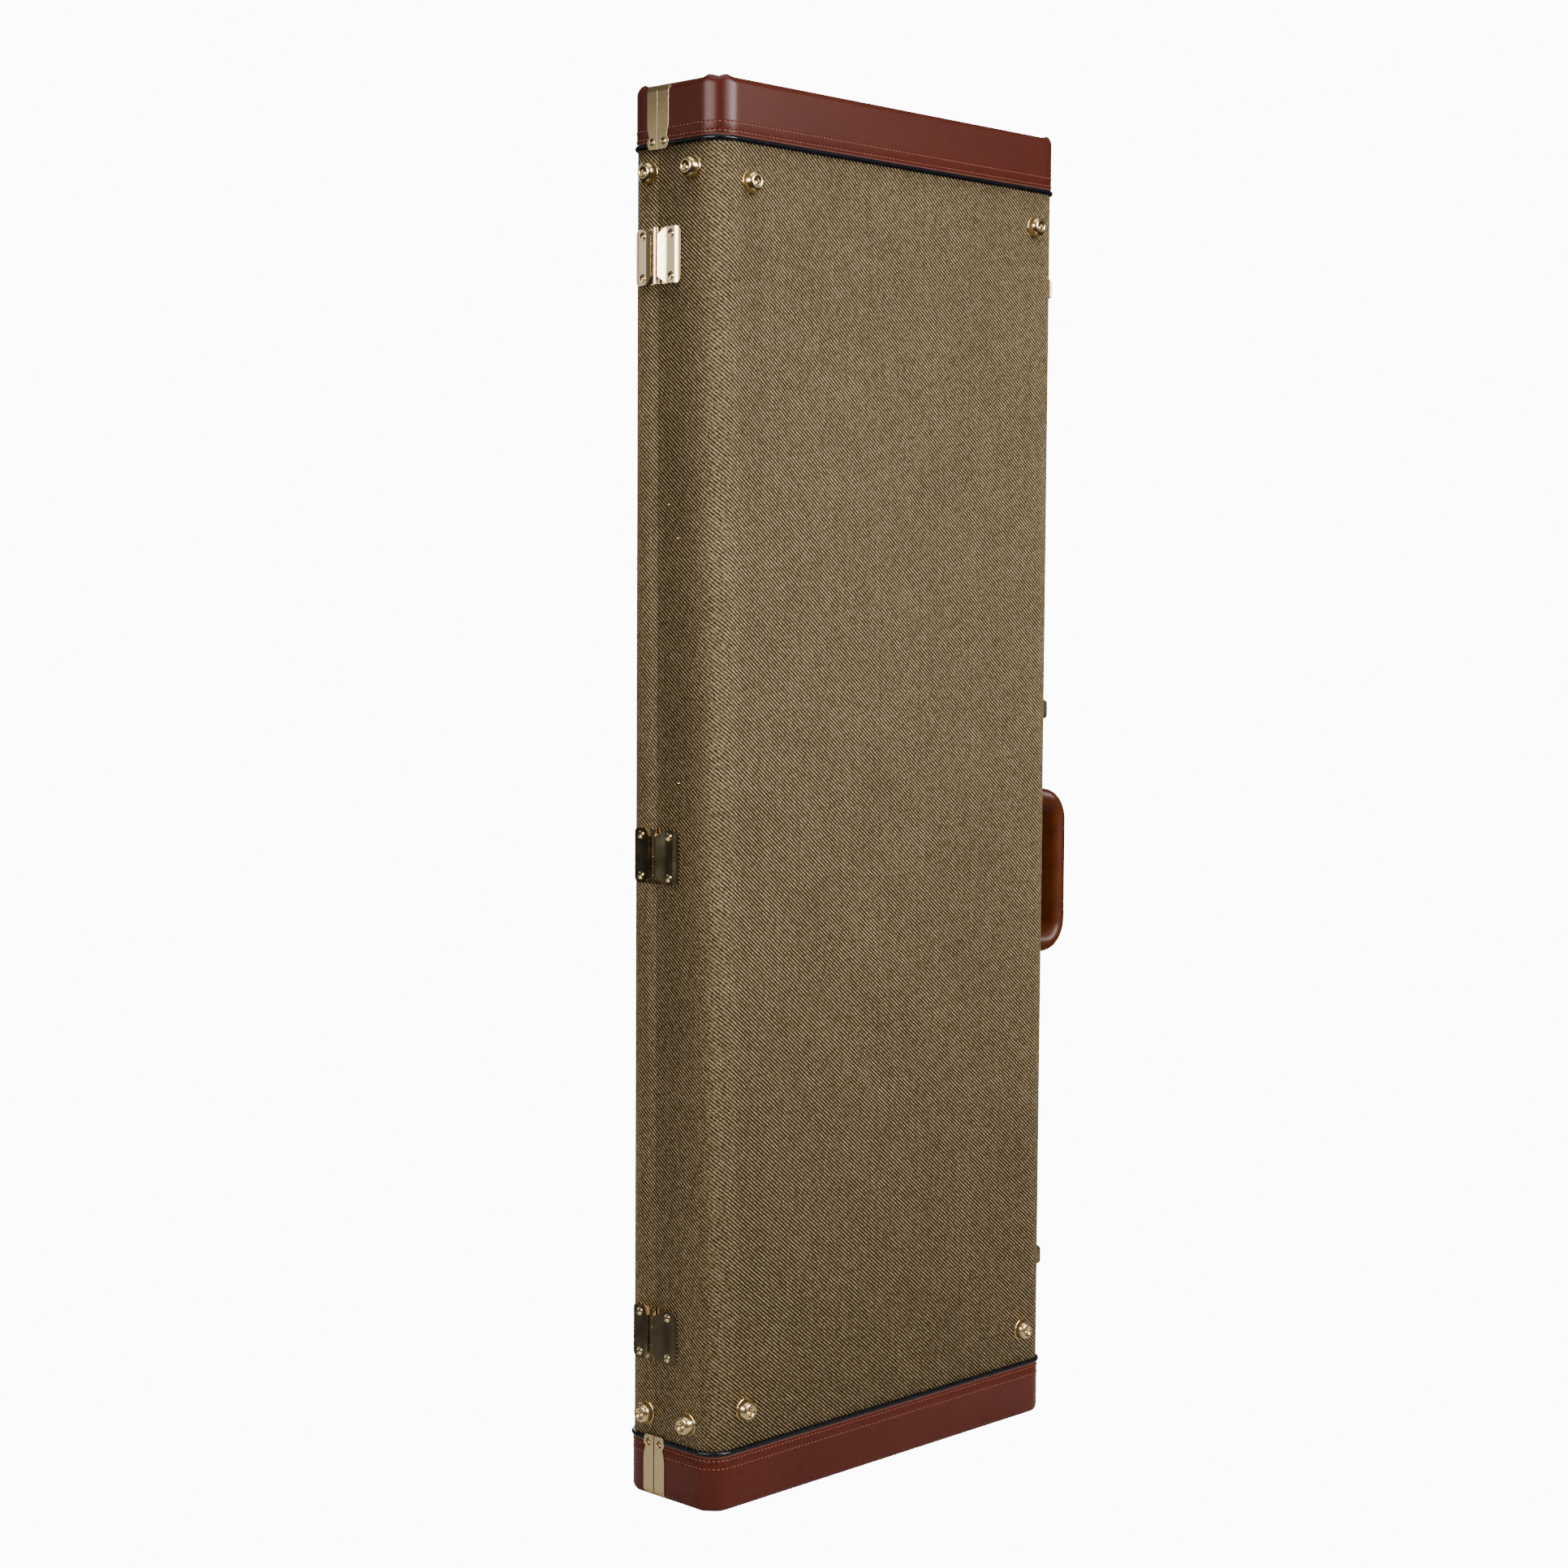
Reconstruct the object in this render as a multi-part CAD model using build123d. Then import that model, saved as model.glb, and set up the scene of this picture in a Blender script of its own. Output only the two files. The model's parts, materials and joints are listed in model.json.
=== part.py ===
from build123d import *
import math
import os

os.makedirs("parts", exist_ok=True)

# A hard-shell case for an electric guitar, standing on its body end.
# Millimetres. X runs from the hinge side to the handle side, Y from the big face of the
# base to the lid, Z from the body end up to the head end. The origin is the centre of the
# body end's face, which rests on the floor.

# The whole case, over the cloth
case_length = 1050.0
case_width = 388.0
base_depth = 62.0
lid_depth = 34.0
edge_radius = 18.0
parting_gap = 0.4

# Covering and shell
cloth_thickness = 1.0
ply_thickness = 5.0
leather_thickness = 1.8
leather_proud = 0.8
leather_roll = 5.0
cap_height = 42.0
piping_width = 4.0
piping_proud = 2.2
piping_round = 1.9

# Brass edge strips over the ends, one for each half
strip_width = 11.3
strip_seam = 0.8
strip_length = 47.5
strip_thickness = 0.9
strip_taper_start = 29.0
strip_taper_fall = 0.7
strip_waist_height = 38.2
strip_waist_width = 9.2
strip_tab_width = 10.8
strip_tab_swell = 0.1
strip_tab_corner = 3.4
strip_nail_height = 41.8
strip_nail_inset = 6.0
nail_radius = 2.3
nail_rise = 0.5
nail_clearance = 0.3
head_top_share = 0.55

# Stop hinges: leaf section as distance from the pin along the side, and height over it
hinge_end_inset = 124.5
hinge_middle_drop = 40.0
hinge_names = ("low", "middle", "top")
leaf_reach = 23.5
leaf_length = 41.0
leaf_plate = 0.9
leaf_corner = 4.0
ridge_offset = 3.2
ridge_height = 5.3
ridge_land = 0.8
ridge_length = 30.0
tray_start = 10.7
tray_end = 19.1
tray_height = 2.4
rim_foot = 21.3
knuckle_radius = 2.5
knuckle_count = 6
knuckle_gap = 0.2
knuckle_web = 1.0
pin_radius = 1.0
pin_height = 3.0
pin_clearance = 0.05
rivet_radius = 2.1
rivet_rise = 0.9
dimple_depth = 1.2
dimple_clearance = 0.2
dimple_flare = 0.9
hinge_rivet_offset = 15.0
hinge_rivet_spread = 30.6

# Glides
foot_radius = 8.6
foot_body_radius = 8.1
foot_height = 8.2
foot_rim = 1.2
foot_crown_radius = 5.2
foot_dish_radius = 4.9
foot_dish_depth = 1.7
foot_funnel_radius = 2.4
foot_funnel_floor = 1.9
foot_funnel_depth = 4.4
foot_rivet_rise = 1.2
face_foot_inset_x = 32.0
face_foot_inset_z = 73.5
side_foot_inset_z = 63.5
base_foot_offset = 35.5
lid_foot_offset = 9.2

# Small tacks in the hinge side of the base: offset from the parting line, height over
# the middle of the case
tack_places = ((11.4, 219.4), (21.0, 194.4), (22.8, 15.0))
tack_radius = 1.3
tack_rise = 0.9

# Draw latches, measured from the parting line and out from the side
latch_low_inset = 126.0
latch_top_inset = 118.0
latch_over_handle = 66.5
latch_names = ("low", "middle", "top")
latch_plate_near = 3.0
latch_plate_far = 41.0
latch_plate_half = 14.5
latch_plate_thickness = 1.0
latch_plate_corner = 2.5
lever_pivot_offset = 12.0
lever_pivot_height = 5.6
lever_half_width = 8.0
lever_sheet = 1.2
lever_nose_radius = 3.6
lever_flange_end = 27.0
lever_flange_foot = 1.8
lever_flange_rake = 2.5
lever_web_start = 15.0
lever_web_rise = 1.4
lever_waist_drop = 1.7
lever_waist_length = 7.0
lever_waist_rise = 0.2
lever_reach = 45.5
lever_bend = (3.6, 3.4)
lever_bend_normal = (0.8, 0.6)
lever_tip_height = 14.0
lever_tip_back = 1.0
lever_tip_normal = (0.9, 0.45)
lever_tip_round = 3.5
ear_radius = 2.3
ear_thickness = 1.1
ear_gap = 0.3
ear_foot_half = 3.5
bail_pivot_offset = 20.0
bail_pivot_height = 3.4
bail_wire_radius = 1.1
bail_leg_gap = 0.3
bail_end_inset = 0.1
bail_bend = 1.6
bail_reach = 9.0
keeper_near = 2.0
keeper_far = 15.5
keeper_half = 12.5
keeper_thickness = 1.0
lug_height = 4.4
lug_thickness = 1.9
lug_gap = 0.4
lug_side_gap = 0.8
lug_lean = 0.6
latch_rivet_edge = 2.7
plate_rivet_inset = 3.3

# Handle
handle_drop = 74.5
handle_length = 138.0
handle_offset = 32.0
grip_centre_height = 37.0
grip_width = 26.0
grip_thickness = 15.0
grip_roundness = 7.0
grip_bend = 20.0
grip_end_height = 14.0
grip_end_width = 13.0
grip_full_height = 30.0
eye_radius = 5.8
eye_thickness = 4.0
handle_pivot_height = 8.0
handle_pin_radius = 2.0
bracket_length = 22.0
bracket_width = 24.0
bracket_thickness = 1.2
bracket_corner = 3.0
bracket_ear_thickness = 1.5
bracket_ear_radius = 5.0
bracket_gap = 0.3
screw_radius = 2.2
screw_rise = 1.0
screw_offset = 7.9

# Lining and the foam that holds the guitar
soft_gap = 0.3
lining_thickness = 5.0
lining_set_back = 1.5
foam_set_back = 16.0
heel_slot_length = 29.6
cavity_floor_gap = 12.0
body_margin = 19.4
waist_narrowing = 39.0
upper_bout_narrowing = 22.0
heel_half = 34.0
body_length = 416.0
tail_share = (0.67, 0.05)
lower_bout_share = 0.32
waist_share = 0.66
upper_bout_share = 0.86
shoulder_share = (0.78, 0.965)
shoulder_slope = 0.1
neck_rest_drop = 350.0
neck_rest_length = 45.0
neck_groove_radius = 34.0
neck_groove_depth = 12.0
box_inner_side = 44.0
box_wall = 4.0

# Worked out from the sizes above
case_depth = base_depth + lid_depth
parting = base_depth - case_depth / 2
half_width = case_width / 2
far = 3 * case_length
cut_over = 1.0
diagonal = math.sin(math.radians(45))
middle = case_length / 2
mid_plane = Plane.XY.offset(middle)
strip_end = cap_height + piping_width
handle_height = middle - handle_drop
hinge_heights = (
    hinge_end_inset,
    middle - hinge_middle_drop,
    case_length - hinge_end_inset,
)
latch_heights = (
    latch_low_inset,
    handle_height + handle_length / 2 + latch_over_handle,
    case_length - latch_top_inset,
)
half_names = ("base", "lid")
side_of = {"base": -1, "lid": 1}


def save(name, shape):
    shape.label = name
    export_step(shape, "parts/" + name + ".step")


def group(solids):
    return Compound(children=list(solids))


def prism(grow, low, high):
    """The case's rounded cross-section, grown or shrunk, between two heights."""
    outline = RectangleRounded(
        case_width + 2 * grow, case_depth + 2 * grow, edge_radius + grow
    )
    return Pos(0, 0, low) * extrude(outline, high - low)


def slab(low_y, high_y, low_z=-far, high_z=far):
    return Pos(0, (low_y + high_y) / 2, (low_z + high_z) / 2) * Box(
        far, high_y - low_y, high_z - low_z
    )


def half_space(half, set_back=0.0):
    """The room on one half's side of the parting plane."""
    edge = parting + side_of[half] * (parting_gap / 2 + set_back)
    return slab(-far, edge) if half == "base" else slab(edge, far)


def strip_slab(half):
    """The band beside the parting line that a brass strip covers."""
    near = parting + side_of[half] * parting_gap / 2
    outer = parting + side_of[half] * strip_width
    return slab(min(near, outer), max(near, outer))


def at_top(shape):
    return mirror(shape, about=mid_plane)


def side_profile(side, points, low, high):
    """Extrude an outline given as offset from the parting line and height over a side."""
    corners = [(side * (half_width + v), parting + u) for u, v in points]
    face = make_face(Polyline(*corners, close=True))
    return Pos(0, 0, low) * extrude(face, high - low, dir=(0, 0, 1))


def side_rod(side, u, v, radius, low, high):
    rod = Cylinder(radius, high - low, align=(Align.CENTER, Align.CENTER, Align.MIN))
    return Pos(side * (half_width + v), parting + u, low) * rod


def on_side(side, u, z, v=0.0):
    """A place on the hinge side (-1) or handle side (1), with local Z pointing out."""
    return Pos(side * (half_width + v), parting + u, z) * Rot(0, 90 * side, 0)


def on_face(x, z):
    return Pos(x, -case_depth / 2, z) * Rot(90, 0, 0)


def head(radius, rise):
    """A low domed fastener head."""
    return Cone(
        radius,
        head_top_share * radius,
        rise,
        align=(Align.CENTER, Align.CENTER, Align.MIN),
    )


# Plywood: a bent channel for each half, closed by two end boards


def make_shell(half):
    outer = prism(-cloth_thickness, leather_thickness, case_length - leather_thickness)
    ends = outer.edges().group_by(Axis.Z)
    outer = fillet(ends[0] + ends[-1], leather_roll - leather_thickness)
    return (outer - prism(-cloth_thickness - ply_thickness, 0, case_length)) & (
        half_space(half)
    )


def make_end_board(half):
    low = leather_thickness
    board = prism(-cloth_thickness - ply_thickness, low, low + ply_thickness)
    return board & half_space(half)


# Covering: cloth between the pipings, leather caps over both ends


def make_cloth(half):
    low, high = strip_end, case_length - strip_end
    ring = prism(0, low, high) - prism(-cloth_thickness, low, high)
    return ring & half_space(half)


def strip_inside():
    """What lies under the brass strips: the leather's form, less their thickness below."""
    width = case_width + 2 * leather_proud
    low = strip_thickness
    block = Pos(0, 0, low) * Box(
        width, far, case_length, align=(Align.CENTER, Align.CENTER, Align.MIN)
    )
    return fillet(
        block.edges().filter_by(Axis.Y).group_by(Axis.Z)[0], leather_roll
    )


def make_cap(half):
    outer = prism(leather_proud, 0, strip_end)
    outer = fillet(outer.edges().group_by(Axis.Z)[0], leather_roll)
    inner = prism(-cloth_thickness, leather_thickness, strip_end + cut_over)
    inner = fillet(
        inner.edges().group_by(Axis.Z)[0], leather_roll - leather_thickness
    )
    cup = (outer - inner) & half_space(half)
    under_strip = cup & strip_slab(half) & strip_inside()
    rest = (cup - strip_slab(half)) & slab(-far, far, 0, cap_height)
    return rest + under_strip


def make_piping(half):
    low, high = cap_height, strip_end
    outer = prism(piping_proud, low, high)
    outer = fillet(outer.edges().filter_by(Axis.Z, reverse=True), piping_round)
    bead = outer - prism(-cloth_thickness, low - cut_over, high + cut_over)
    return (bead & half_space(half)) - strip_slab(half)


def strip_outline(side):
    """One strip seen from the side: straight, drawn in to a waist, then a round tab."""
    waist = (strip_waist_width, strip_waist_height)
    tab_low = (
        strip_tab_width - strip_tab_swell,
        (strip_waist_height + strip_nail_height) / 2,
    )
    tab_top = (strip_tab_width, strip_length - strip_tab_corner)
    inset = strip_tab_corner * (1 - diagonal)
    tab_corner = (strip_tab_width - inset, strip_length - inset)
    crown = (strip_tab_width - strip_tab_corner, strip_length)

    def spot(point):
        return (parting + side * point[0], point[1])

    outline = Polyline(
        spot((strip_seam / 2, strip_length)),
        spot((strip_seam / 2, 0)),
        spot((strip_width, 0)),
        spot((strip_width, strip_taper_start)),
    )
    outline += Spline(
        spot((strip_width, strip_taper_start)),
        spot((
            strip_width - strip_taper_fall,
            (strip_taper_start + strip_waist_height) / 2,
        )),
        spot(waist),
    )
    outline += ThreePointArc(spot(waist), spot(tab_low), spot(tab_top))
    outline += ThreePointArc(spot(tab_top), spot(tab_corner), spot(crown))
    outline += Line(spot(crown), spot((strip_seam / 2, strip_length)))
    return make_face(outline)


def make_strip(half):
    """A brass strip down one side, across the end and up the other side."""
    width = case_width + 2 * (leather_proud + strip_thickness)
    outside = Box(
        width, far, case_length, align=(Align.CENTER, Align.CENTER, Align.MIN)
    )
    outside = fillet(
        outside.edges().filter_by(Axis.Y).group_by(Axis.Z)[0],
        leather_roll + strip_thickness,
    )
    side = side_of[half]
    blank = extrude(Plane.YZ * strip_outline(side), case_width, both=True)
    hole_y = parting + side * strip_nail_inset
    hole = Pos(0, hole_y, strip_nail_height) * Rot(0, 90, 0) * Cylinder(
        nail_radius + nail_clearance, far
    )
    return (outside & blank) - strip_inside() - hole


def strip_nails(half):
    u = side_of[half] * strip_nail_inset
    low = [
        on_side(side, u, strip_nail_height, leather_proud) * head(nail_radius, nail_rise)
        for side in (-1, 1)
    ]
    return low + [at_top(nail) for nail in low]


# Stop hinges on the hinge side


def leaf_points(half):
    """The pressed leaf's section: ridge by the knuckle, tray for the rivets, flat rim."""
    s = side_of[half]
    section = [
        (ridge_offset, -ply_thickness),
        (ridge_offset, ridge_height),
        (ridge_offset + ridge_land, ridge_height),
        (tray_start, tray_height),
        (tray_end, tray_height),
        (rim_foot, leaf_plate),
        (leaf_reach, leaf_plate),
        (leaf_reach, -ply_thickness),
    ]
    return [(s * u, v) for u, v in section]


def make_leaf(half, height):
    s = side_of[half]
    low, high = height - leaf_length / 2, height + leaf_length / 2
    leaf = side_profile(-1, leaf_points(half), low, high)
    cut_start = ridge_length / 2
    for way in (-1, 1):
        corner = Polyline(
            (parting + s * (ridge_offset - cut_over), height + way * cut_start),
            (parting + s * (ridge_offset - cut_over), height + way * leaf_length),
            (parting + s * tray_start, height + way * leaf_length),
            (parting + s * tray_start, height + way * leaf_length / 2),
            (parting + s * ridge_offset, height + way * cut_start),
            close=True,
        )
        wedge = extrude(Plane.YZ * make_face(corner), far, dir=(-1, 0, 0))
        leaf -= Pos(-half_width - leaf_plate, 0, 0) * wedge
    rims = [
        edge
        for edge in leaf.edges().filter_by(Axis.X)
        if abs(edge.center().Y - (parting + s * leaf_reach)) < pin_clearance
    ]
    leaf = fillet(rims, leaf_corner)
    pitch = leaf_length / knuckle_count
    first = 0 if half == "base" else 1
    for step in range(first, knuckle_count, 2):
        start = low + step * pitch + knuckle_gap / 2
        end = start + pitch - knuckle_gap
        leaf += side_rod(-1, 0, pin_height, knuckle_radius, start, end)
        foot = pin_height - knuckle_radius
        web = [
            (0, foot),
            (0, foot + knuckle_web),
            (s * (ridge_offset + ridge_land), foot + knuckle_web),
            (s * (ridge_offset + ridge_land), foot),
        ]
        leaf += side_profile(-1, web, start, end)
    bore = pin_radius + pin_clearance
    leaf -= side_rod(-1, 0, pin_height, bore, low - cut_over, high + cut_over)
    for z in rivet_heights(height):
        seat = Cone(
            rivet_radius + dimple_clearance,
            rivet_radius + dimple_clearance + dimple_flare,
            dimple_depth,
            align=(Align.CENTER, Align.CENTER, Align.MIN),
        )
        floor = tray_height - dimple_depth
        leaf -= on_side(-1, s * hinge_rivet_offset, z, floor) * seat
    return leaf - prism(0, 0, case_length)


def rivet_heights(height):
    return (height - hinge_rivet_spread / 2, height + hinge_rivet_spread / 2)


def hinge_rivets(half):
    u = side_of[half] * hinge_rivet_offset
    floor = tray_height - dimple_depth
    return [
        on_side(-1, u, z, floor) * head(rivet_radius, rivet_rise)
        for height in hinge_heights
        for z in rivet_heights(height)
    ]


# Glides


def make_foot():
    crown_start = foot_height - (foot_body_radius - foot_crown_radius)
    floor = foot_height - foot_funnel_depth
    slope = (foot_body_radius - foot_crown_radius) * diagonal
    outline = Polyline(
        (0, floor),
        (0, 0),
        (foot_radius, 0),
        (foot_radius, foot_rim),
        (foot_body_radius, foot_rim + foot_radius - foot_body_radius),
        (foot_body_radius, crown_start),
    )
    outline += ThreePointArc(
        (foot_body_radius, crown_start),
        (foot_crown_radius + slope, crown_start + slope),
        (foot_crown_radius, foot_height),
    )
    outline += Polyline(
        (foot_crown_radius, foot_height),
        (foot_dish_radius, foot_height),
        (foot_funnel_radius, foot_height - foot_dish_depth),
        (foot_funnel_floor, floor),
        (0, floor),
    )
    body = revolve(Plane.XZ * make_face(outline), Axis.Z)
    rivet = Pos(0, 0, floor) * head(foot_funnel_floor, foot_rivet_rise)
    return [body, rivet]


def place_feet(places):
    return [place * solid for place in places for solid in make_foot()]


def side_foot_places(half):
    offset = -base_foot_offset if half == "base" else lid_foot_offset
    heights = (side_foot_inset_z, case_length - side_foot_inset_z)
    return [on_side(-1, offset, z) for z in heights]


# Draw latches on the handle side

ear_outer = lever_half_width - lever_sheet - ear_gap
leg_height = lever_half_width + bail_leg_gap + bail_wire_radius


def rounded_plate(side, near, far_edge, half_z, thickness, z, corner):
    points = [(near, 0), (near, thickness), (far_edge, thickness), (far_edge, 0)]
    plate = side_profile(side, points, z - half_z, z + half_z)
    return fillet(plate.edges().filter_by(Axis.X), corner)


def make_latch_plate(z):
    plate = rounded_plate(
        1,
        -latch_plate_near,
        -latch_plate_far,
        latch_plate_half,
        latch_plate_thickness,
        z,
        latch_plate_corner,
    )
    pivot = -lever_pivot_offset
    ear = [
        (pivot - ear_foot_half, latch_plate_thickness / 2),
        (pivot + ear_foot_half, latch_plate_thickness / 2),
        (pivot + ear_radius, lever_pivot_height),
        (pivot - ear_radius, lever_pivot_height),
    ]
    for way in (-1, 1):
        ends = sorted((way * ear_outer, way * (ear_outer - ear_thickness)))
        low, high = z + ends[0], z + ends[1]
        plate += side_profile(1, ear, low, high)
        plate += side_rod(1, pivot, lever_pivot_height, ear_radius, low, high)
    bore = pin_radius + pin_clearance
    top = lever_half_width
    return plate - side_rod(1, pivot, lever_pivot_height, bore, z - top, z + top)


def lever_curve(shift):
    """The lever's back from the web to the tip, sunk by a shift into the sheet."""
    waist_height = lever_pivot_height + lever_nose_radius - lever_waist_drop
    waist_end = lever_flange_end + lever_waist_length
    bend = (-lever_reach + lever_bend[0], lever_tip_height - lever_bend[1])
    tip = (-lever_reach + lever_tip_back, lever_tip_height)
    return [
        (-lever_web_start, waist_height + lever_web_rise - shift),
        (-lever_flange_end, waist_height - shift),
        (-waist_end, waist_height + lever_waist_rise - shift),
        (bend[0] - lever_bend_normal[0] * shift, bend[1] - lever_bend_normal[1] * shift),
        (tip[0] - lever_tip_normal[0] * shift, tip[1] - lever_tip_normal[1] * shift),
    ]


def make_lever(z):
    half = lever_half_width
    pivot = -lever_pivot_offset

    def spot(u, v):
        return (half_width + v, parting + u)

    top = [spot(u, v) for u, v in lever_curve(0)]
    under = [spot(u, v) for u, v in reversed(lever_curve(lever_sheet))]
    outline = Spline(*top) + Line(top[-1], under[0])
    outline += Spline(*under) + Line(under[-1], top[0])
    sheet = make_face(outline)
    tail = Pos(0, 0, z - half) * extrude(sheet, 2 * half, dir=(0, 0, 1))
    tips = [
        edge
        for edge in tail.edges()
        if edge.length < 2 * lever_sheet
        and abs(edge.center().Y - top[-1][1]) < lever_sheet
    ]
    lever = fillet(tips, lever_tip_round)
    back = lever_curve(lever_sheet / 2)
    flange = [
        (pivot, lever_pivot_height - lever_nose_radius),
        (pivot, lever_pivot_height + lever_nose_radius),
        (-lever_web_start, back[0][1]),
        (-lever_flange_end, back[1][1]),
        (-lever_flange_end + lever_flange_rake, lever_flange_foot),
    ]
    for way in (-1, 1):
        ends = sorted((way * half, way * (half - lever_sheet)))
        low, high = z + ends[0], z + ends[1]
        lever += side_profile(1, flange, low, high)
        lever += side_rod(
            1, pivot, lever_pivot_height, lever_nose_radius, low, high
        )
    bore = pin_radius + pin_clearance
    lever -= side_rod(1, pivot, lever_pivot_height, bore, z - half, z + half)
    bail_bore = bail_wire_radius + pin_clearance
    return lever - side_rod(
        1, -bail_pivot_offset, bail_pivot_height, bail_bore, z - half, z + half
    )


def make_bail(z):
    x = half_width + bail_pivot_height
    back, front = parting - bail_pivot_offset, parting + bail_reach
    inner = lever_half_width - lever_sheet + bail_end_inset
    path = FilletPolyline(
        (x, back, z - inner),
        (x, back, z - leg_height),
        (x, front, z - leg_height),
        (x, front, z + leg_height),
        (x, back, z + leg_height),
        (x, back, z + inner),
        radius=bail_bend,
    )
    start = Plane(origin=(x, back, z - inner), z_dir=(0, 0, -1))
    return sweep(start * Circle(bail_wire_radius), path=path)


def make_keeper(z):
    plate = rounded_plate(
        1, keeper_near, keeper_far, keeper_half, keeper_thickness, z, latch_plate_corner
    )
    face = bail_reach - bail_wire_radius - lug_gap
    lug = [
        (face - lug_thickness - lug_lean, keeper_thickness / 2),
        (face - lug_thickness, lug_height),
        (face, lug_height),
        (face, keeper_thickness / 2),
    ]
    half = leg_height - bail_wire_radius - lug_side_gap
    return plate + side_profile(1, lug, z - half, z + half)


def latch_rivets(half):
    if half == "base":
        rows = (-latch_plate_near, -latch_plate_far)
        inward = (-plate_rivet_inset, plate_rivet_inset)
        reach = latch_plate_half - latch_rivet_edge
    else:
        rows = (keeper_far,)
        inward = (-latch_rivet_edge,)
        reach = keeper_half - latch_rivet_edge
    return [
        on_side(1, row + shift, z + way * reach, latch_plate_thickness)
        * head(rivet_radius, rivet_rise)
        for z in latch_heights
        for row, shift in zip(rows, inward)
        for way in (-1, 1)
    ]


# Handle on the handle side of the base

arm_heights = (
    handle_height - handle_length / 2 + grip_thickness / 2,
    handle_height + handle_length / 2 - grip_thickness / 2,
)


def make_grip():
    y = parting - handle_offset
    foot, crest = half_width + grip_end_height, half_width + grip_centre_height
    low, high = arm_heights
    path = FilletPolyline(
        (foot, y, low), (crest, y, low), (crest, y, high), (foot, y, high),
        radius=grip_bend,
    )
    start = Plane(origin=(foot, y, low), x_dir=(0, 1, 0), z_dir=(1, 0, 0))
    section = RectangleRounded(grip_width, grip_thickness, grip_roundness)
    bar = sweep(start * section, path=path)
    crest_top = grip_centre_height + grip_thickness
    taper = [
        (-grip_end_width / 2, grip_end_height),
        (-grip_width / 2, grip_full_height),
        (-grip_width / 2, crest_top),
        (grip_width / 2, crest_top),
        (grip_width / 2, grip_full_height),
        (grip_end_width / 2, grip_end_height),
    ]
    points = [(u - handle_offset, v) for u, v in taper]
    return bar & side_profile(1, points, 0, case_length)


def make_eye(z):
    u = -handle_offset
    low, high = z - eye_thickness / 2, z + eye_thickness / 2
    shank = [
        (u - eye_radius, handle_pivot_height),
        (u + eye_radius, handle_pivot_height),
        (u + eye_radius, grip_end_height),
        (u - eye_radius, grip_end_height),
    ]
    eye = side_rod(1, u, handle_pivot_height, eye_radius, low, high)
    eye += side_profile(1, shank, low, high)
    bore = handle_pin_radius + pin_clearance
    return eye - side_rod(
        1, u, handle_pivot_height, bore, low - cut_over, high + cut_over
    )


def make_bracket(z):
    u = -handle_offset
    plate = rounded_plate(
        1,
        u - bracket_width / 2,
        u + bracket_width / 2,
        bracket_length / 2,
        bracket_thickness,
        z,
        bracket_corner,
    )
    inner = eye_thickness / 2 + bracket_gap
    ear = [
        (u - bracket_ear_radius, bracket_thickness / 2),
        (u + bracket_ear_radius, bracket_thickness / 2),
        (u + bracket_ear_radius, handle_pivot_height),
        (u - bracket_ear_radius, handle_pivot_height),
    ]
    for way in (-1, 1):
        ends = sorted((way * inner, way * (inner + bracket_ear_thickness)))
        low, high = z + ends[0], z + ends[1]
        plate += side_profile(1, ear, low, high)
        plate += side_rod(1, u, handle_pivot_height, bracket_ear_radius, low, high)
    reach = inner + bracket_ear_thickness + cut_over
    bore = handle_pin_radius + pin_clearance
    return plate - side_rod(1, u, handle_pivot_height, bore, z - reach, z + reach)


def handle_pins():
    reach = eye_thickness / 2 + bracket_gap + bracket_ear_thickness
    return [
        side_rod(
            1, -handle_offset, handle_pivot_height, handle_pin_radius, z - reach, z + reach
        )
        for z in arm_heights
    ]


def bracket_screws():
    return [
        on_side(1, -handle_offset, z + way * screw_offset, bracket_thickness)
        * head(screw_radius, screw_rise)
        for z in arm_heights
        for way in (-1, 1)
    ]


# Lining and foam

lining_out = -cloth_thickness - ply_thickness - soft_gap
lining_in = lining_out - lining_thickness
end_inside = leather_thickness + ply_thickness + soft_gap
foam_out = lining_in - soft_gap
foam_low = end_inside + lining_thickness + soft_gap
foam_floor = -case_depth / 2 - foam_out
lower_bout = half_width + foam_out - body_margin
waist = lower_bout - waist_narrowing
upper_bout = lower_bout - upper_bout_narrowing
foam_top = parting - foam_set_back
cavity_start = foam_low + cavity_floor_gap
surround_end = cavity_start + body_length + heel_slot_length
neck_rest_start = case_length - neck_rest_drop


def make_lining(half):
    outer = prism(lining_out, end_inside, case_length - end_inside)
    skin = end_inside + lining_thickness
    tray = outer - prism(lining_in, skin, case_length - skin)
    return tray & half_space(half, lining_set_back)


def foam_block(low_x, high_x, low_z, high_z):
    block = Pos(
        (low_x + high_x) / 2, (foam_floor + foam_top) / 2, (low_z + high_z) / 2
    ) * Box(high_x - low_x, foam_top - foam_floor, high_z - low_z)
    return block & prism(foam_out, 0, case_length)


def make_surround():
    """Foam round the guitar's body, with the body's outline cut through it."""
    outline_places = [
        (0, 0),
        (tail_share[0] * lower_bout, tail_share[1]),
        (lower_bout, lower_bout_share),
        (waist, waist_share),
        (upper_bout, upper_bout_share),
        (shoulder_share[0] * upper_bout, shoulder_share[1]),
        (heel_half, 1),
    ]
    right = [(x, cavity_start + share * body_length) for x, share in outline_places]
    slot_end = surround_end + cut_over
    outline = Spline(*right, tangents=((1, 0), (-1, shoulder_slope)))
    outline += Polyline(right[-1], (heel_half, slot_end), (0, slot_end), right[0])
    hole = extrude(Plane.XZ * make_face(outline), far, both=True)
    hole += mirror(hole, about=Plane.YZ)
    block = foam_block(-half_width, half_width, foam_low, surround_end)
    return block - hole


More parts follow.
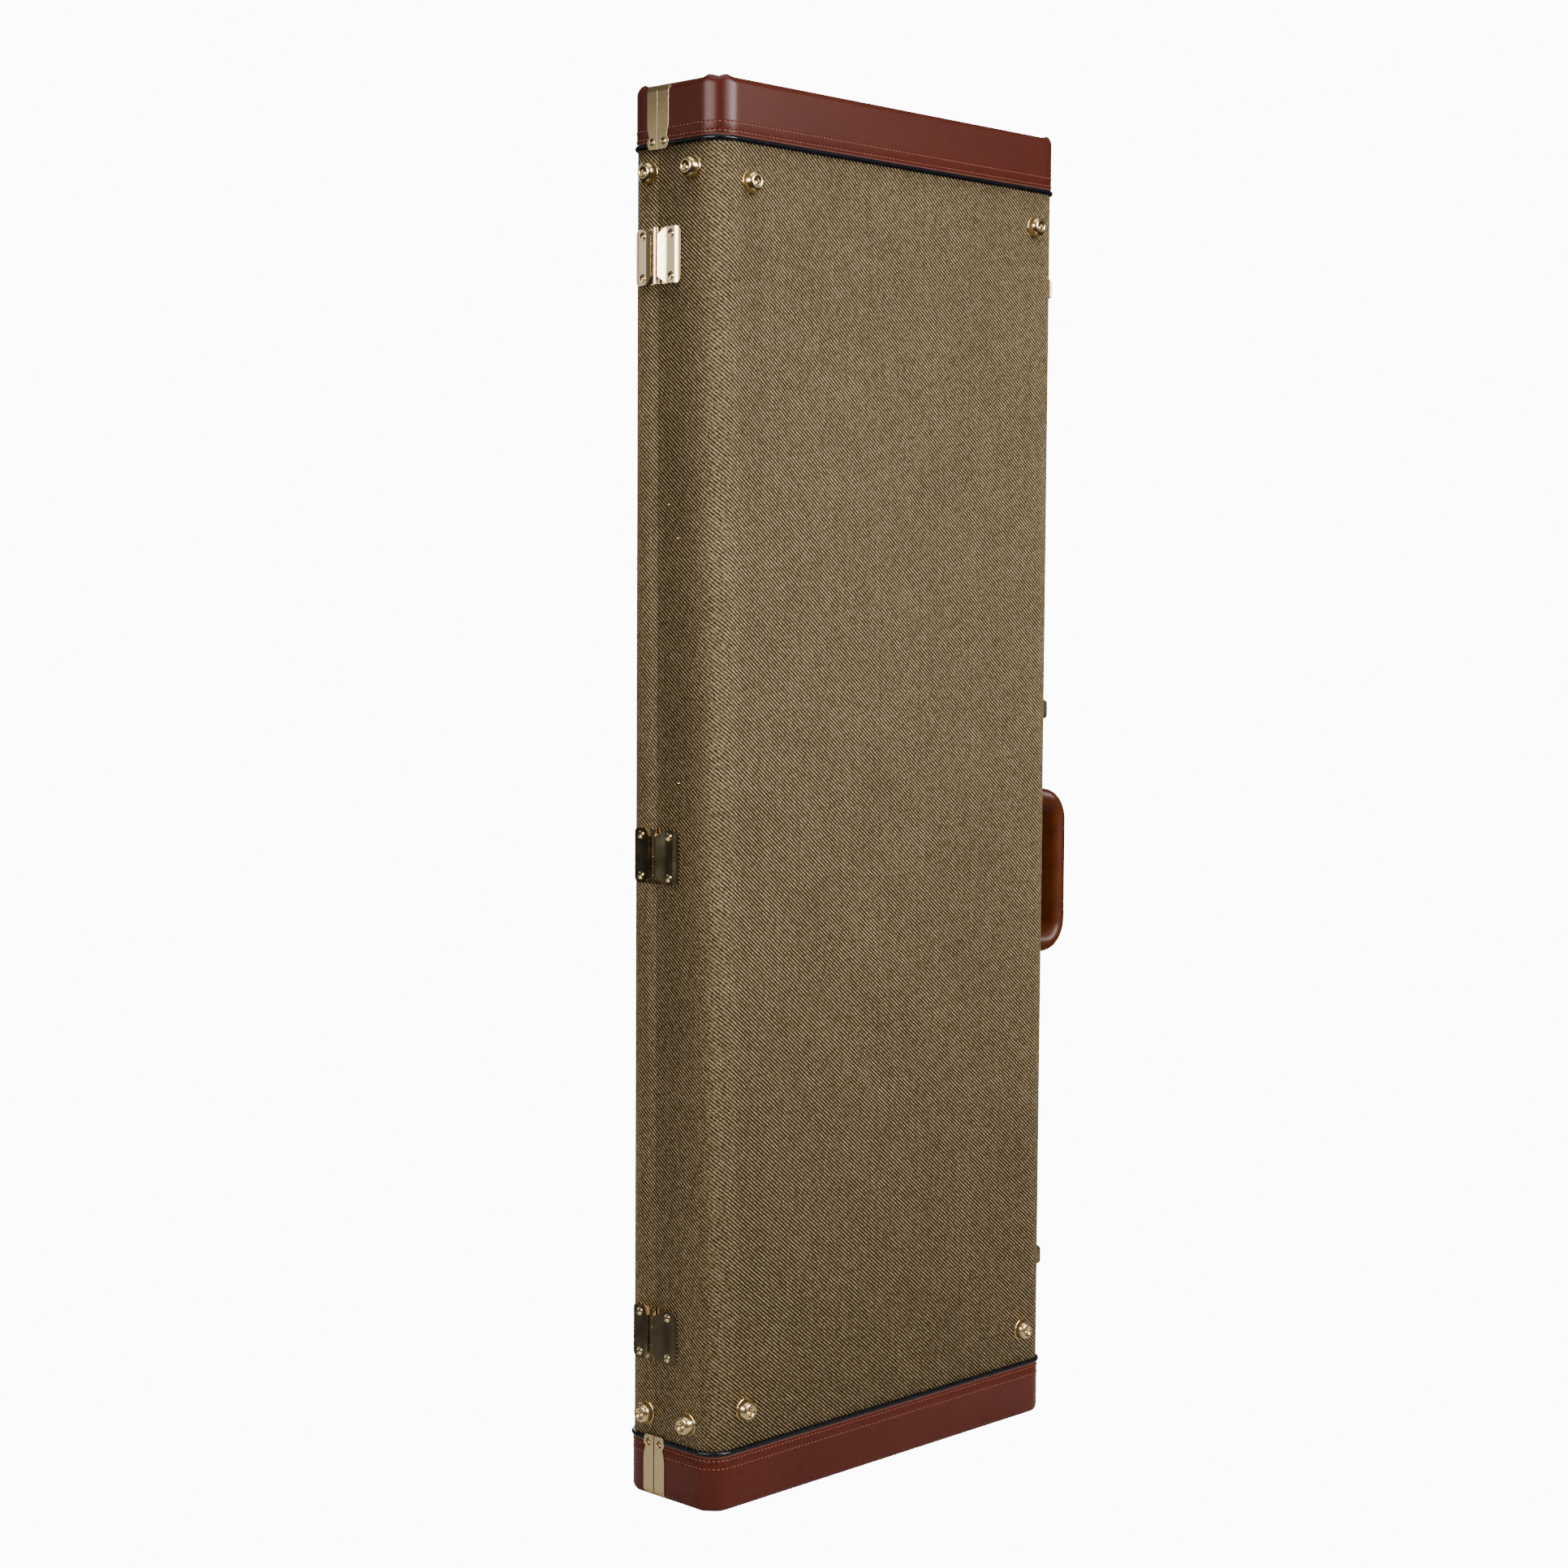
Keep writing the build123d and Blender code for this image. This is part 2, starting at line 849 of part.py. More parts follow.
def make_neck_rest():
    end = neck_rest_start + neck_rest_length
    block = foam_block(-half_width, half_width, neck_rest_start, end)
    bottom = foam_top - neck_groove_depth
    groove = Pos(0, bottom + neck_groove_radius, 0) * Cylinder(
        neck_groove_radius, far
    )
    return block - groove


def side_block(side):
    low_z, high_z = surround_end + soft_gap, neck_rest_start - soft_gap
    ends = sorted((side * box_inner_side, side * half_width))
    return foam_block(ends[0], ends[1], low_z, high_z)


def make_accessory_box():
    shell = side_block(1)
    box = shell.bounding_box()
    inner = Box(
        box.size.X - 2 * box_wall, case_depth, box.size.Z - 2 * box_wall
    )
    centre = box.center()
    return shell - Pos(
        centre.X, foam_floor + box_wall + case_depth / 2, centre.Z
    ) * inner


for half in half_names:
    save(half + "_shell", make_shell(half))
    board = make_end_board(half)
    save(half + "_end_board_bottom", board)
    save(half + "_end_board_top", at_top(board))
    save(half + "_cloth", make_cloth(half))
    cap = make_cap(half)
    save(half + "_cap_bottom", cap)
    save(half + "_cap_top", at_top(cap))
    piping = make_piping(half)
    save(half + "_piping_bottom", piping)
    save(half + "_piping_top", at_top(piping))
    strip = make_strip(half)
    save(half + "_edge_strip_bottom", strip)
    save(half + "_edge_strip_top", at_top(strip))
    save(half + "_side_feet", group(place_feet(side_foot_places(half))))
    save(half + "_rivets", group(hinge_rivets(half) + latch_rivets(half)))
    save(half + "_lining", make_lining(half))
    for name, height in zip(hinge_names, hinge_heights):
        save("hinge_" + name + "_" + half + "_leaf", make_leaf(half, height))

tacks = [
    on_side(-1, -u, middle + z) * head(tack_radius, tack_rise) for u, z in tack_places
]
save("base_nails", group(strip_nails("base") + tacks))
save("lid_nails", group(strip_nails("lid")))

pins = [
    side_rod(-1, 0, pin_height, pin_radius, z - leaf_length / 2, z + leaf_length / 2)
    for z in hinge_heights
]
save("hinge_pins", group(pins))

face_foot_x = half_width - face_foot_inset_x
face_feet = [
    on_face(x, z)
    for x in (-face_foot_x, face_foot_x)
    for z in (face_foot_inset_z, case_length - face_foot_inset_z)
]
save("face_feet", group(place_feet(face_feet)))

for name, z in zip(latch_names, latch_heights):
    save("latch_" + name + "_plate", make_latch_plate(z))
    save("latch_" + name + "_lever", make_lever(z))
    save("latch_" + name + "_bail", make_bail(z))
    save("latch_" + name + "_keeper", make_keeper(z))
latch_pins = [
    side_rod(
        1,
        -lever_pivot_offset,
        lever_pivot_height,
        pin_radius,
        z - lever_half_width,
        z + lever_half_width,
    )
    for z in latch_heights
]
save("latch_pins", group(latch_pins))

save("handle_grip", make_grip())
save("handle_eyes", group([make_eye(z) for z in arm_heights]))
save("handle_bracket_lower", make_bracket(arm_heights[0]))
save("handle_bracket_upper", make_bracket(arm_heights[1]))
save("handle_pins", group(handle_pins()))
save("bracket_screws", group(bracket_screws()))

save("body_surround", make_surround())
save("neck_rest", make_neck_rest())
save("accessory_box", make_accessory_box())
save("filler_block", side_block(-1))
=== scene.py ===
import json
import math

import bmesh
import bpy
from mathutils import Euler, Matrix, Vector
from mathutils.bvhtree import BVHTree


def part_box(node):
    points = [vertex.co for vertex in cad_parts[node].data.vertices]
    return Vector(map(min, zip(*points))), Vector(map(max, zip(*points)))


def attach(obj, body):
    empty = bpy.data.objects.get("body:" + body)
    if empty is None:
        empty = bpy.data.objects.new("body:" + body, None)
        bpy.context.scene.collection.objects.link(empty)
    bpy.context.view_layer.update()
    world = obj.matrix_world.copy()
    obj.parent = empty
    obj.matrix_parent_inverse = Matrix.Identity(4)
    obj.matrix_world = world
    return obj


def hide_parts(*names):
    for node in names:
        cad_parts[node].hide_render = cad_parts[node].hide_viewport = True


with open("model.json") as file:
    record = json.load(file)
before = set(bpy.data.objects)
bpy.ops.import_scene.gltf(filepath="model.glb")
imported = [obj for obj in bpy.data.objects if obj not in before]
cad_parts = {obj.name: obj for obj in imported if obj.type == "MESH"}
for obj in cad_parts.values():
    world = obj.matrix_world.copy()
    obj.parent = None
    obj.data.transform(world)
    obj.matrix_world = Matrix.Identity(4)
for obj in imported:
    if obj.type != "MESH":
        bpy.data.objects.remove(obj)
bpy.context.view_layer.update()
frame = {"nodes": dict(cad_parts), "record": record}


# Camera: a long lens a little over two metres from the case, a little above its middle and
# turned towards the edge between the hinge side and the base's big face.
camera_place = Vector((-1.59308, -1.47695, 0.67595))
camera_heading = math.radians(45.81)
camera_pitch = math.radians(-3.83)
camera_roll = math.radians(0.355)
camera_lens = 63.44
camera_film = 36.0
camera_near = 0.05
camera_data = bpy.data.cameras.new("camera")
camera_data.sensor_width = camera_film
camera_data.lens = camera_lens
camera_data.clip_start = camera_near
camera = bpy.data.objects.new("camera", camera_data)
bpy.context.scene.collection.objects.link(camera)
aim = Euler((math.pi / 2 + camera_pitch, 0.0, -camera_heading)).to_matrix()
camera.matrix_world = Matrix.Translation(camera_place) @ (
    aim @ Matrix.Rotation(camera_roll, 3, "Z")
).to_4x4()
bpy.context.scene.camera = camera


# Studio: a white floor in a white room, lit so that the camera sees no edge or shadow in
# them. The brass sees a room that is light above the horizon and dark below it, and a floor
# that turns from white to dark between the two distances of floor_mirrored.
floor_reach = 14.0
floor_mirrored = (0.30, 0.50)
floor_white = (0.80, 0.80, 0.80)
floor_dark = (0.03, 0.03, 0.03)
floor_roughness = 0.9
floor_gloss = 0.1
room_white = 12.0
room_sky = (0.95, 0.92, 0.88)
room_ground = (0.10, 0.09, 0.08)
room_horizon = (0.40, 0.56)
room_strength = 0.19


def link(name, mesh, *materials):
    """Adds a finished mesh to the scene as a piece."""
    for material in materials:
        mesh.materials.append(material)
    piece = bpy.data.objects.new(name, mesh)
    bpy.context.scene.collection.objects.link(piece)
    return piece


def close(bm, name):
    """Turns a bmesh into a mesh with smooth faces."""
    for face in bm.faces:
        face.smooth = True
    mesh = bpy.data.meshes.new(name)
    bm.to_mesh(mesh)
    bm.free()
    return mesh


def node_in(tree, kind, **settings):
    """A shader node with its settings and its plain inputs."""
    node = tree.nodes.new(kind)
    for key, value in settings.items():
        if hasattr(node, key):
            setattr(node, key, value)
        else:
            node.inputs[key].default_value = value
    return node


def finish_named(name):
    """A new material, its node tree and its surface shader."""
    material = bpy.data.materials.new(name)
    material.use_nodes = True
    tree = material.node_tree
    return material, tree, tree.nodes["Principled BSDF"]


def give(tree, shader, **inputs):
    """Gives a shader its inputs: sockets are linked, plain values are set on the shader."""
    for name, value in inputs.items():
        socket = shader.inputs[name.replace("_", " ")]
        if isinstance(value, bpy.types.NodeSocket):
            tree.links.new(value, socket)
        else:
            socket.default_value = value


def chain(tree, operation, first, second=None, third=None):
    """A math node fed by sockets or numbers."""
    node = node_in(tree, "ShaderNodeMath", operation=operation)
    for socket, value in zip(node.inputs, (first, second, third)):
        if isinstance(value, (int, float)):
            socket.default_value = value
        elif value is not None:
            tree.links.new(value, socket)
    return node.outputs[0]


def blend_colours(tree, share, first, second, **settings):
    """Mixes two colours, or sockets, by a share."""
    node = node_in(tree, "ShaderNodeMix", data_type="RGBA", **settings)
    if isinstance(share, float):
        node.inputs[0].default_value = share
    else:
        tree.links.new(share, node.inputs[0])
    for socket, value in ((node.inputs[6], first), (node.inputs[7], second)):
        if isinstance(value, tuple):
            socket.default_value = (*value, 1.0)
        else:
            tree.links.new(value, socket)
    return node.outputs[2]


def shine_to_camera(tree, surface, glow_kind, output):
    """Lets the camera see plain white where all other rays meet the surface."""
    light_path = node_in(tree, "ShaderNodeLightPath")
    white = node_in(tree, glow_kind, Color=(1.0, 1.0, 1.0, 1.0), Strength=room_white)
    either = node_in(tree, "ShaderNodeMixShader")
    tree.links.new(light_path.outputs["Is Camera Ray"], either.inputs[0])
    tree.links.new(surface.outputs[0], either.inputs[1])
    tree.links.new(white.outputs[0], either.inputs[2])
    tree.links.new(either.outputs[0], output.inputs["Surface"])


floor_paint, tree, shader = finish_named("floor_paint")
floor_place = node_in(tree, "ShaderNodeTexCoord")
from_case = node_in(tree, "ShaderNodeVectorMath", operation="LENGTH")
tree.links.new(floor_place.outputs["Object"], from_case.inputs[0])
far = node_in(tree, "ShaderNodeMapRange")
far.inputs["From Min"].default_value, far.inputs["From Max"].default_value = floor_mirrored
tree.links.new(from_case.outputs["Value"], far.inputs["Value"])
floor_path = node_in(tree, "ShaderNodeLightPath")
unseen = chain(tree, "MULTIPLY", far.outputs[0], floor_path.outputs["Is Glossy Ray"])
give(
    tree, shader, Base_Color=blend_colours(tree, unseen, floor_white, floor_dark),
    Roughness=floor_roughness, Specular_IOR_Level=floor_gloss,
)
shine_to_camera(tree, shader, "ShaderNodeEmission", tree.nodes["Material Output"])
bm = bmesh.new()
bmesh.ops.create_grid(bm, x_segments=1, y_segments=1, size=floor_reach)
floor = link("floor", close(bm, "floor"), floor_paint)

room = bpy.data.worlds.new("room")
bpy.context.scene.world = room
room.use_nodes = True
tree = room.node_tree
tree.nodes.clear()
direction = node_in(tree, "ShaderNodeTexCoord")
split = node_in(tree, "ShaderNodeSeparateXYZ")
tree.links.new(direction.outputs["Generated"], split.inputs[0])
ramp = node_in(tree, "ShaderNodeValToRGB")
for stop, spot, colour in zip(ramp.color_ramp.elements, room_horizon, (room_ground, room_sky)):
    stop.position = spot
    stop.color = (*colour, 1.0)
tree.links.new(chain(tree, "MULTIPLY_ADD", split.outputs["Z"], 0.5, 0.5), ramp.inputs[0])
room_light = node_in(tree, "ShaderNodeBackground", Strength=room_strength)
tree.links.new(ramp.outputs[0], room_light.inputs["Color"])
shine_to_camera(
    tree, room_light, "ShaderNodeBackground", node_in(tree, "ShaderNodeOutputWorld")
)


# Lights: a large softbox beside the camera for the big face, a small warm one for the hinge
# side with a weak one behind it, one overhead and one behind the case. Two gloss cards add
# only what leather and brass mirror.
case_middle = (0.0, 0.0, 0.55)
warm = (1.0, 0.86, 0.66)


def softbox(name, place, target, size, watts, tint=(1.0, 1.0, 1.0), gloss_only=False):
    """Hangs a lamp as wide and as tall as its size, and turns it to its target."""
    data = bpy.data.lights.new(name, "AREA")
    data.color = tint
    data.shape = "RECTANGLE"
    data.size, data.size_y = size
    data.energy = watts
    lamp = bpy.data.objects.new(name, data)
    lamp.location = place
    toward = Vector(target) - Vector(place)
    lamp.rotation_euler = toward.to_track_quat("-Z", "Y").to_euler()
    lamp.visible_diffuse = not gloss_only
    bpy.context.scene.collection.objects.link(lamp)


softbox("key", (-0.35, -2.75, 1.95), case_middle, (1.3, 1.5), 62)
softbox("left", (-2.75, -0.10, 1.95), (-0.19, 0.0, 1.10), (0.8, 0.6), 9.5, warm)
softbox("left_behind", (-2.0, 1.8, 1.14), (-0.1, 0.0, 1.0), (1.2, 0.52), 1.8)
softbox("overhead", (-0.3, -0.4, 3.2), case_middle, (2.2, 2.2), 30)
softbox("behind", (1.8, 2.4, 1.6), case_middle, (1.6, 1.8), 50)
softbox("left_card", (-2.75, -0.15, 1.46), (-0.19, -0.15, 1.40), (2.3, 0.85), 85, gloss_only=True)
softbox("front_card", (0.78, -2.70, 1.62), (0.0, -0.13, 1.5), (1.4, 0.95), 115, gloss_only=True)


# Plywood: thin cross-banded sheet, bent round each half and closed by a board glued in at
# each end. It shows only at the parting edges, once the lid is open.
side_of = {"base": -1, "lid": 1}
ends = ("bottom", "top")
weld_gap = 1e-6
flat_angle = math.radians(0.5)
sharp_angle = math.radians(28)
ply_round = 0.0004
ply_dark = (0.34, 0.20, 0.10)
ply_light = (0.62, 0.44, 0.26)
ply_grain = {"scale": 420.0, "detail": 6.0, "roughness": 0.6}
ply_along = (1.0, 1.0, 0.06)
ply_bump = {"strength": 0.2, "distance": 0.0002}


def object_place(tree, scale=None):
    """The place on a piece, in metres. A scale below 1 draws a grain out along the case."""
    place = node_in(tree, "ShaderNodeTexCoord").outputs["Object"]
    if scale is None:
        return place
    stretch = node_in(tree, "ShaderNodeMapping", Scale=scale)
    tree.links.new(place, stretch.inputs["Vector"])
    return stretch.outputs[0]


def noise_at(tree, place, scale, detail, roughness=0.5):
    """A noise from 0 to 1 at a place, with about as many spots to a metre as its scale."""
    node = node_in(
        tree, "ShaderNodeTexNoise", Scale=scale, Detail=detail, Roughness=roughness
    )
    tree.links.new(place, node.inputs["Vector"])
    return node.outputs["Fac"]


def raised(tree, height, strength, distance):
    """The surface direction of a skin raised by a height."""
    bump = node_in(tree, "ShaderNodeBump", Strength=strength, Distance=distance)
    tree.links.new(height, bump.inputs["Height"])
    return bump.outputs[0]


def make_plywood():
    material, tree, shader = finish_named("plywood")
    grain = noise_at(tree, object_place(tree, ply_along), **ply_grain)
    give(
        tree, shader, Base_Color=blend_colours(tree, grain, ply_dark, ply_light),
        Roughness=0.7, Normal=raised(tree, grain, **ply_bump),
    )
    return material


def refine(name, material, width, segments=2):
    """Dresses a CAD piece: its facets are welded and its sharp edges get a small round."""
    piece = frame["nodes"][name]
    piece.data.materials.clear()
    piece.data.materials.append(material)
    weld = piece.modifiers.new("weld", "WELD")
    weld.merge_threshold = weld_gap
    flats = piece.modifiers.new("flats", "DECIMATE")
    flats.decimate_type = "DISSOLVE"
    flats.angle_limit = flat_angle
    edge = piece.modifiers.new("edge", "BEVEL")
    edge.width = width
    edge.segments = segments
    edge.limit_method = "ANGLE"
    edge.angle_limit = sharp_angle
    shade = piece.modifiers.new("shade", "WEIGHTED_NORMAL")
    shade.weight = 100
    for face in piece.data.polygons:
        face.use_smooth = True


plywood = make_plywood()
for half in side_of:
    refine(half + "_shell", plywood, ply_round)
    for end in ends:
        refine(half + "_end_board_" + end, plywood, ply_round)


# Tweed cloth: a two-and-two twill of tan and dark brown yarn, glued over each plywood half
# between its two pipings. Along the rounded long edges its brown yarn is painted lighter, a
# painted sheen, and the same hand of twill runs round both halves.
edge_radius = 0.018
edge_segments = 14
cloth_thickness = 0.001
cloth_low, cloth_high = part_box("base_cloth")
half_width = cloth_high.x
half_depth = -cloth_low.y
flat_half = half_width - edge_radius
warp_pitch = 0.00096
weft_pitch = 0.00077
twill_repeat = 4.0
twill_over = 2.0
yarn_fullness = 0.45
yarn_wander = {"scale": 55.0, "detail": 2.0}
wander_yarns = 0.4
float_spacing = 7.0
yarn_fibre = {"scale": 5200.0, "detail": 2.0}
cloth_patch = {"scale": 16.0, "detail": 4.0, "roughness": 0.6}
tan_yarn = (0.690, 0.495, 0.202)
grey_yarn = (0.615, 0.468, 0.260)
brown_yarn = (0.022, 0.013, 0.004)
# Colour of the brown yarn under the painted sheen along the rounded long edges.
sheen_lit_yarn = (0.230, 0.165, 0.088)
sheen_band_width = 0.014
sheen_strength = 0.75
yarn_tone = {"change": 0.16, "least": 0.84}
float_tone = {"change": 0.80, "least": 0.56}
fibre_tone = {"change": 0.6, "least": 0.72}
patch_tone = {"change": 0.5, "least": 0.77}
# Painted shade: darkens each yarn towards its sides and float ends, between its neighbours.
yarn_gap_shade = {"change": 1.1, "least": 0.22}
fibre_height = 0.3
cloth_bump = {"strength": 0.7, "distance": 0.00025}


def y_span(name, half):
    """Where a piece of one half starts, at the parting line, and where it ends."""
    low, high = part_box(name)
    return (high.y, low.y) if half == "base" else (low.y, high.y)


def wrap(half, out, low, high):
    """A sheet round the three outer sides of one half, still with sharp long edges."""
    side = side_of[half]
    parting_edge = y_span(half + "_cloth", half)[0]
    far_side = side * (half_depth + out)
    beside = half_width + out
    bm = bmesh.new()
    plan = (
        (-beside, parting_edge), (-beside, far_side), (beside, far_side), (beside, parting_edge)
    )
    corners = [bm.verts.new((x, y, low)) for x, y in plan]
    rim = [bm.edges.new(pair) for pair in zip(corners, corners[1:])]
    walls = bmesh.ops.extrude_edge_only(bm, edges=rim)["geom"]
    tops = [part for part in walls if isinstance(part, bmesh.types.BMVert)]
    bmesh.ops.translate(bm, verts=tops, vec=(0.0, 0.0, high - low))
    bm.normal_update()
    middle = max(bm.faces, key=lambda face: abs(face.calc_center_median().y))
    if middle.normal.y * side < 0:
        bmesh.ops.reverse_faces(bm, faces=bm.faces[:])
    return bm


def round_long_edges(bm, out):
    """Rounds the upright edges of a wrapped half to the case's edge radius."""
    upright = [
        edge
        for edge in bm.edges
        if edge.is_manifold
        and abs(edge.verts[0].co.z - edge.verts[1].co.z) > weld_gap
        and abs(edge.verts[0].co.y - edge.verts[1].co.y) < weld_gap
    ]
    bmesh.ops.bevel(
        bm, geom=upright, offset=edge_radius + out, affect="EDGES",
        segments=edge_segments, profile=0.5, material=-1,
    )


def around(point, side, out=0.0):
    """How far round the case a point lies, from the middle of the half's big face."""
    radius = edge_radius + out
    depth = half_depth + out - side * point.y
    if depth >= radius:
        length = flat_half + radius * math.pi / 2 + depth - radius
    else:
        turn = math.atan2(max(abs(point.x) - flat_half, 0.0), radius - depth)
        length = min(abs(point.x), flat_half) + radius * turn
    return -side * math.copysign(length, point.x)


def lay_uv(bm, side):
    """Unrolls a wrapped sheet, in metres."""
    uv = bm.loops.layers.uv.new("unrolled")
    for face in bm.faces:
        for loop in face.loops:
            loop[uv].uv = (around(loop.vert.co, side), loop.vert.co.z)


def vector_of(tree, *parts):
    """A vector made of three sockets or numbers."""
    node = node_in(tree, "ShaderNodeCombineXYZ")
    for part, socket in zip(parts, node.inputs):
        if isinstance(part, float):
            socket.default_value = part
        else:
            tree.links.new(part, socket)
    return node.outputs[0]


def chance(tree, place):
    """A number from 0 to 1 drawn by a place."""
    draw = node_in(tree, "ShaderNodeTexWhiteNoise", noise_dimensions="3D")
    tree.links.new(place, draw.inputs["Vector"])
    return draw.outputs["Value"]


def graded(tree, value, change, least):
    """A value from 0 to 1 turned into one from least to least + change."""
    return chain(tree, "MULTIPLY_ADD", value, change, least)


def make_tweed():
    material, tree, shader = finish_named("tweed")
    uv = node_in(tree, "ShaderNodeUVMap", uv_map="unrolled").outputs[0]
    split = node_in(tree, "ShaderNodeSeparateXYZ")
    tree.links.new(uv, split.inputs[0])
    round_case, up_case = split.outputs["X"], split.outputs["Y"]

    # The yarns: warp runs up the case and weft round it, two over and two under.
    wander = noise_at(tree, uv, **yarn_wander)
    drift = graded(tree, wander, wander_yarns, -wander_yarns / 2)
    across = chain(tree, "MULTIPLY_ADD", round_case, 1 / warp_pitch, drift)
    along = chain(tree, "MULTIPLY_ADD", up_case, 1 / weft_pitch, drift)
    warp = chain(tree, "FLOOR", across)
    weft = chain(tree, "FLOOR", along)
    step = chain(tree, "ADD", warp, weft)
    cycle = chain(tree, "FLOORED_MODULO", step, twill_repeat)
    warp_up = chain(tree, "LESS_THAN", cycle, twill_over)
    weft_up = chain(tree, "SUBTRACT", 1.0, warp_up)
    rounds = []
    for yarn_side, run in (
        (across, chain(tree, "ADD", warp, along)), (along, chain(tree, "ADD", across, weft))
    ):
        half_turn = chain(tree, "MULTIPLY", chain(tree, "FRACT", yarn_side), math.pi)
        girth = chain(tree, "SINE", half_turn)
        float_run = chain(tree, "FRACT", chain(tree, "MULTIPLY", run, 1 / twill_over))
        float_crest = chain(tree, "SINE", chain(tree, "MULTIPLY", float_run, math.pi))
        full = chain(tree, "POWER", float_crest, yarn_fullness)
        rounds.append(chain(tree, "MULTIPLY", girth, full))
    warp_round, weft_round = rounds
    upper = node_in(tree, "ShaderNodeMix", data_type="FLOAT")
    tree.links.new(warp_up, upper.inputs[0])
    tree.links.new(weft_round, upper.inputs[2])
    tree.links.new(warp_round, upper.inputs[3])
    bulge = upper.outputs[0]

    # Each yarn and float has a tone of its own; painted shade darkens the gaps between yarns.
    shown_warp = chain(tree, "MULTIPLY", warp, warp_up)
    shown_weft = chain(tree, "MULTIPLY", weft, weft_up)
    shown_yarn = vector_of(tree, shown_warp, shown_weft, warp_up)
    float_count = chain(tree, "FLOOR", chain(tree, "MULTIPLY", step, 1 / twill_repeat))
    float_layer = vector_of(tree, 0.0, 0.0, chain(tree, "MULTIPLY", float_count, float_spacing))
    shown_float = node_in(tree, "ShaderNodeVectorMath", operation="ADD")
    tree.links.new(shown_yarn, shown_float.inputs[0])
    tree.links.new(float_layer, shown_float.inputs[1])
    yarn_draw = chance(tree, shown_yarn)
    float_draw = chance(tree, shown_float.outputs[0])
    fibre = noise_at(tree, uv, **yarn_fibre)
    patch = noise_at(tree, uv, **cloth_patch)

    # Along the rounded long edges the brown yarn is painted lighter: a painted sheen.
    dyed = blend_colours(tree, float_draw, tan_yarn, grey_yarn)
    edge_middle = flat_half + edge_radius * math.pi / 4
    off_edge = chain(tree, "SUBTRACT", chain(tree, "ABSOLUTE", round_case), edge_middle)
    off_edge = chain(tree, "MULTIPLY", off_edge, 1 / sheen_band_width)
    off_edge = chain(tree, "MULTIPLY", off_edge, off_edge)
    near_edge = chain(tree, "EXPONENT", chain(tree, "MULTIPLY", off_edge, -1.0))
    patchy = chain(tree, "MULTIPLY", float_draw, sheen_strength)
    painted_sheen = chain(tree, "MULTIPLY", near_edge, patchy)
    brown_and_sheen = blend_colours(tree, painted_sheen, brown_yarn, sheen_lit_yarn)
    colour = blend_colours(tree, warp_up, brown_and_sheen, dyed)

    tone = graded(tree, yarn_draw, **yarn_tone)
    for value, grades in (
        (float_draw, float_tone), (fibre, fibre_tone), (patch, patch_tone), (bulge, yarn_gap_shade)
    ):
        tone = chain(tree, "MULTIPLY", tone, graded(tree, value, **grades))
    grey = vector_of(tree, tone, tone, tone)
    height = chain(tree, "MULTIPLY_ADD", fibre, fibre_height, bulge)
    give(
        tree, shader,
        Base_Color=blend_colours(tree, 1.0, colour, grey, blend_type="MULTIPLY"),
        Normal=raised(tree, height, **cloth_bump), Roughness=0.75, Specular_IOR_Level=0.10,
    )
    return material


tweed = make_tweed()
for half, side in side_of.items():
    low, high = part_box(half + "_cloth")
    bm = wrap(half, 0.0, low.z, high.z)
    round_long_edges(bm, 0.0)
    lay_uv(bm, side)
    cloth = link(half + "_tweed", close(bm, half + "_tweed"), tweed)
    thicken = cloth.modifiers.new("thickness", "SOLIDIFY")
    thicken.thickness = cloth_thickness
    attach(cloth, half)
    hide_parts(half + "_cloth")


# Leatherette ends: a cap over each end of each half, turned over the end with a soft roll
# and tucked under the brass strip beside the parting line. It is gathered into small
# puckers at the two rounded corners of the end.
case_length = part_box("base_cap_top")[1].z
leather_proud = 0.0008
leather_thickness = 0.0017
leather_roll = 0.005
leather_lip = 0.0009
roll_segments = 6
cap_height = 0.042
fold_reach = 0.012
fold_levels = (0.007, 0.010, 0.020, 0.030)
corner_cut = 0.002
corner_cuts_across = 12
corner_cuts_deep = 10
pucker_rise = {"bottom": 0.0003, "top": 0.0017}
pucker_spread = 0.0034
pucker_angles = (0.18 * math.pi / 2, 0.72 * math.pi / 2)
pucker_middle = 0.0155
pucker_length = 0.0065
tuck_depth = 0.00096
tuck_step = 0.0004
maroon = (0.140, 0.023, 0.011)
maroon_dark = (0.084, 0.012, 0.005)
# Painted highlight on the lip of the turned leather edge.
maroon_highlight = (0.260, 0.085, 0.065)
leather_broad = {"scale": 14.0, "detail": 5.0, "roughness": 0.55}
leather_fine = {"scale": 700.0, "detail": 4.0, "roughness": 0.6}
leather_grain = 1500.0
broad_share = {"change": 0.9, "least": -0.15}
fine_share = 0.35
leather_rough = {"change": 0.20, "least": 0.22}
fine_height = 0.25
grain_height = 0.3
leather_bump = {"strength": 0.5, "distance": 0.00025}
stitch_rows = (0.0030, 0.0093)
stitch_groove = 0.0010


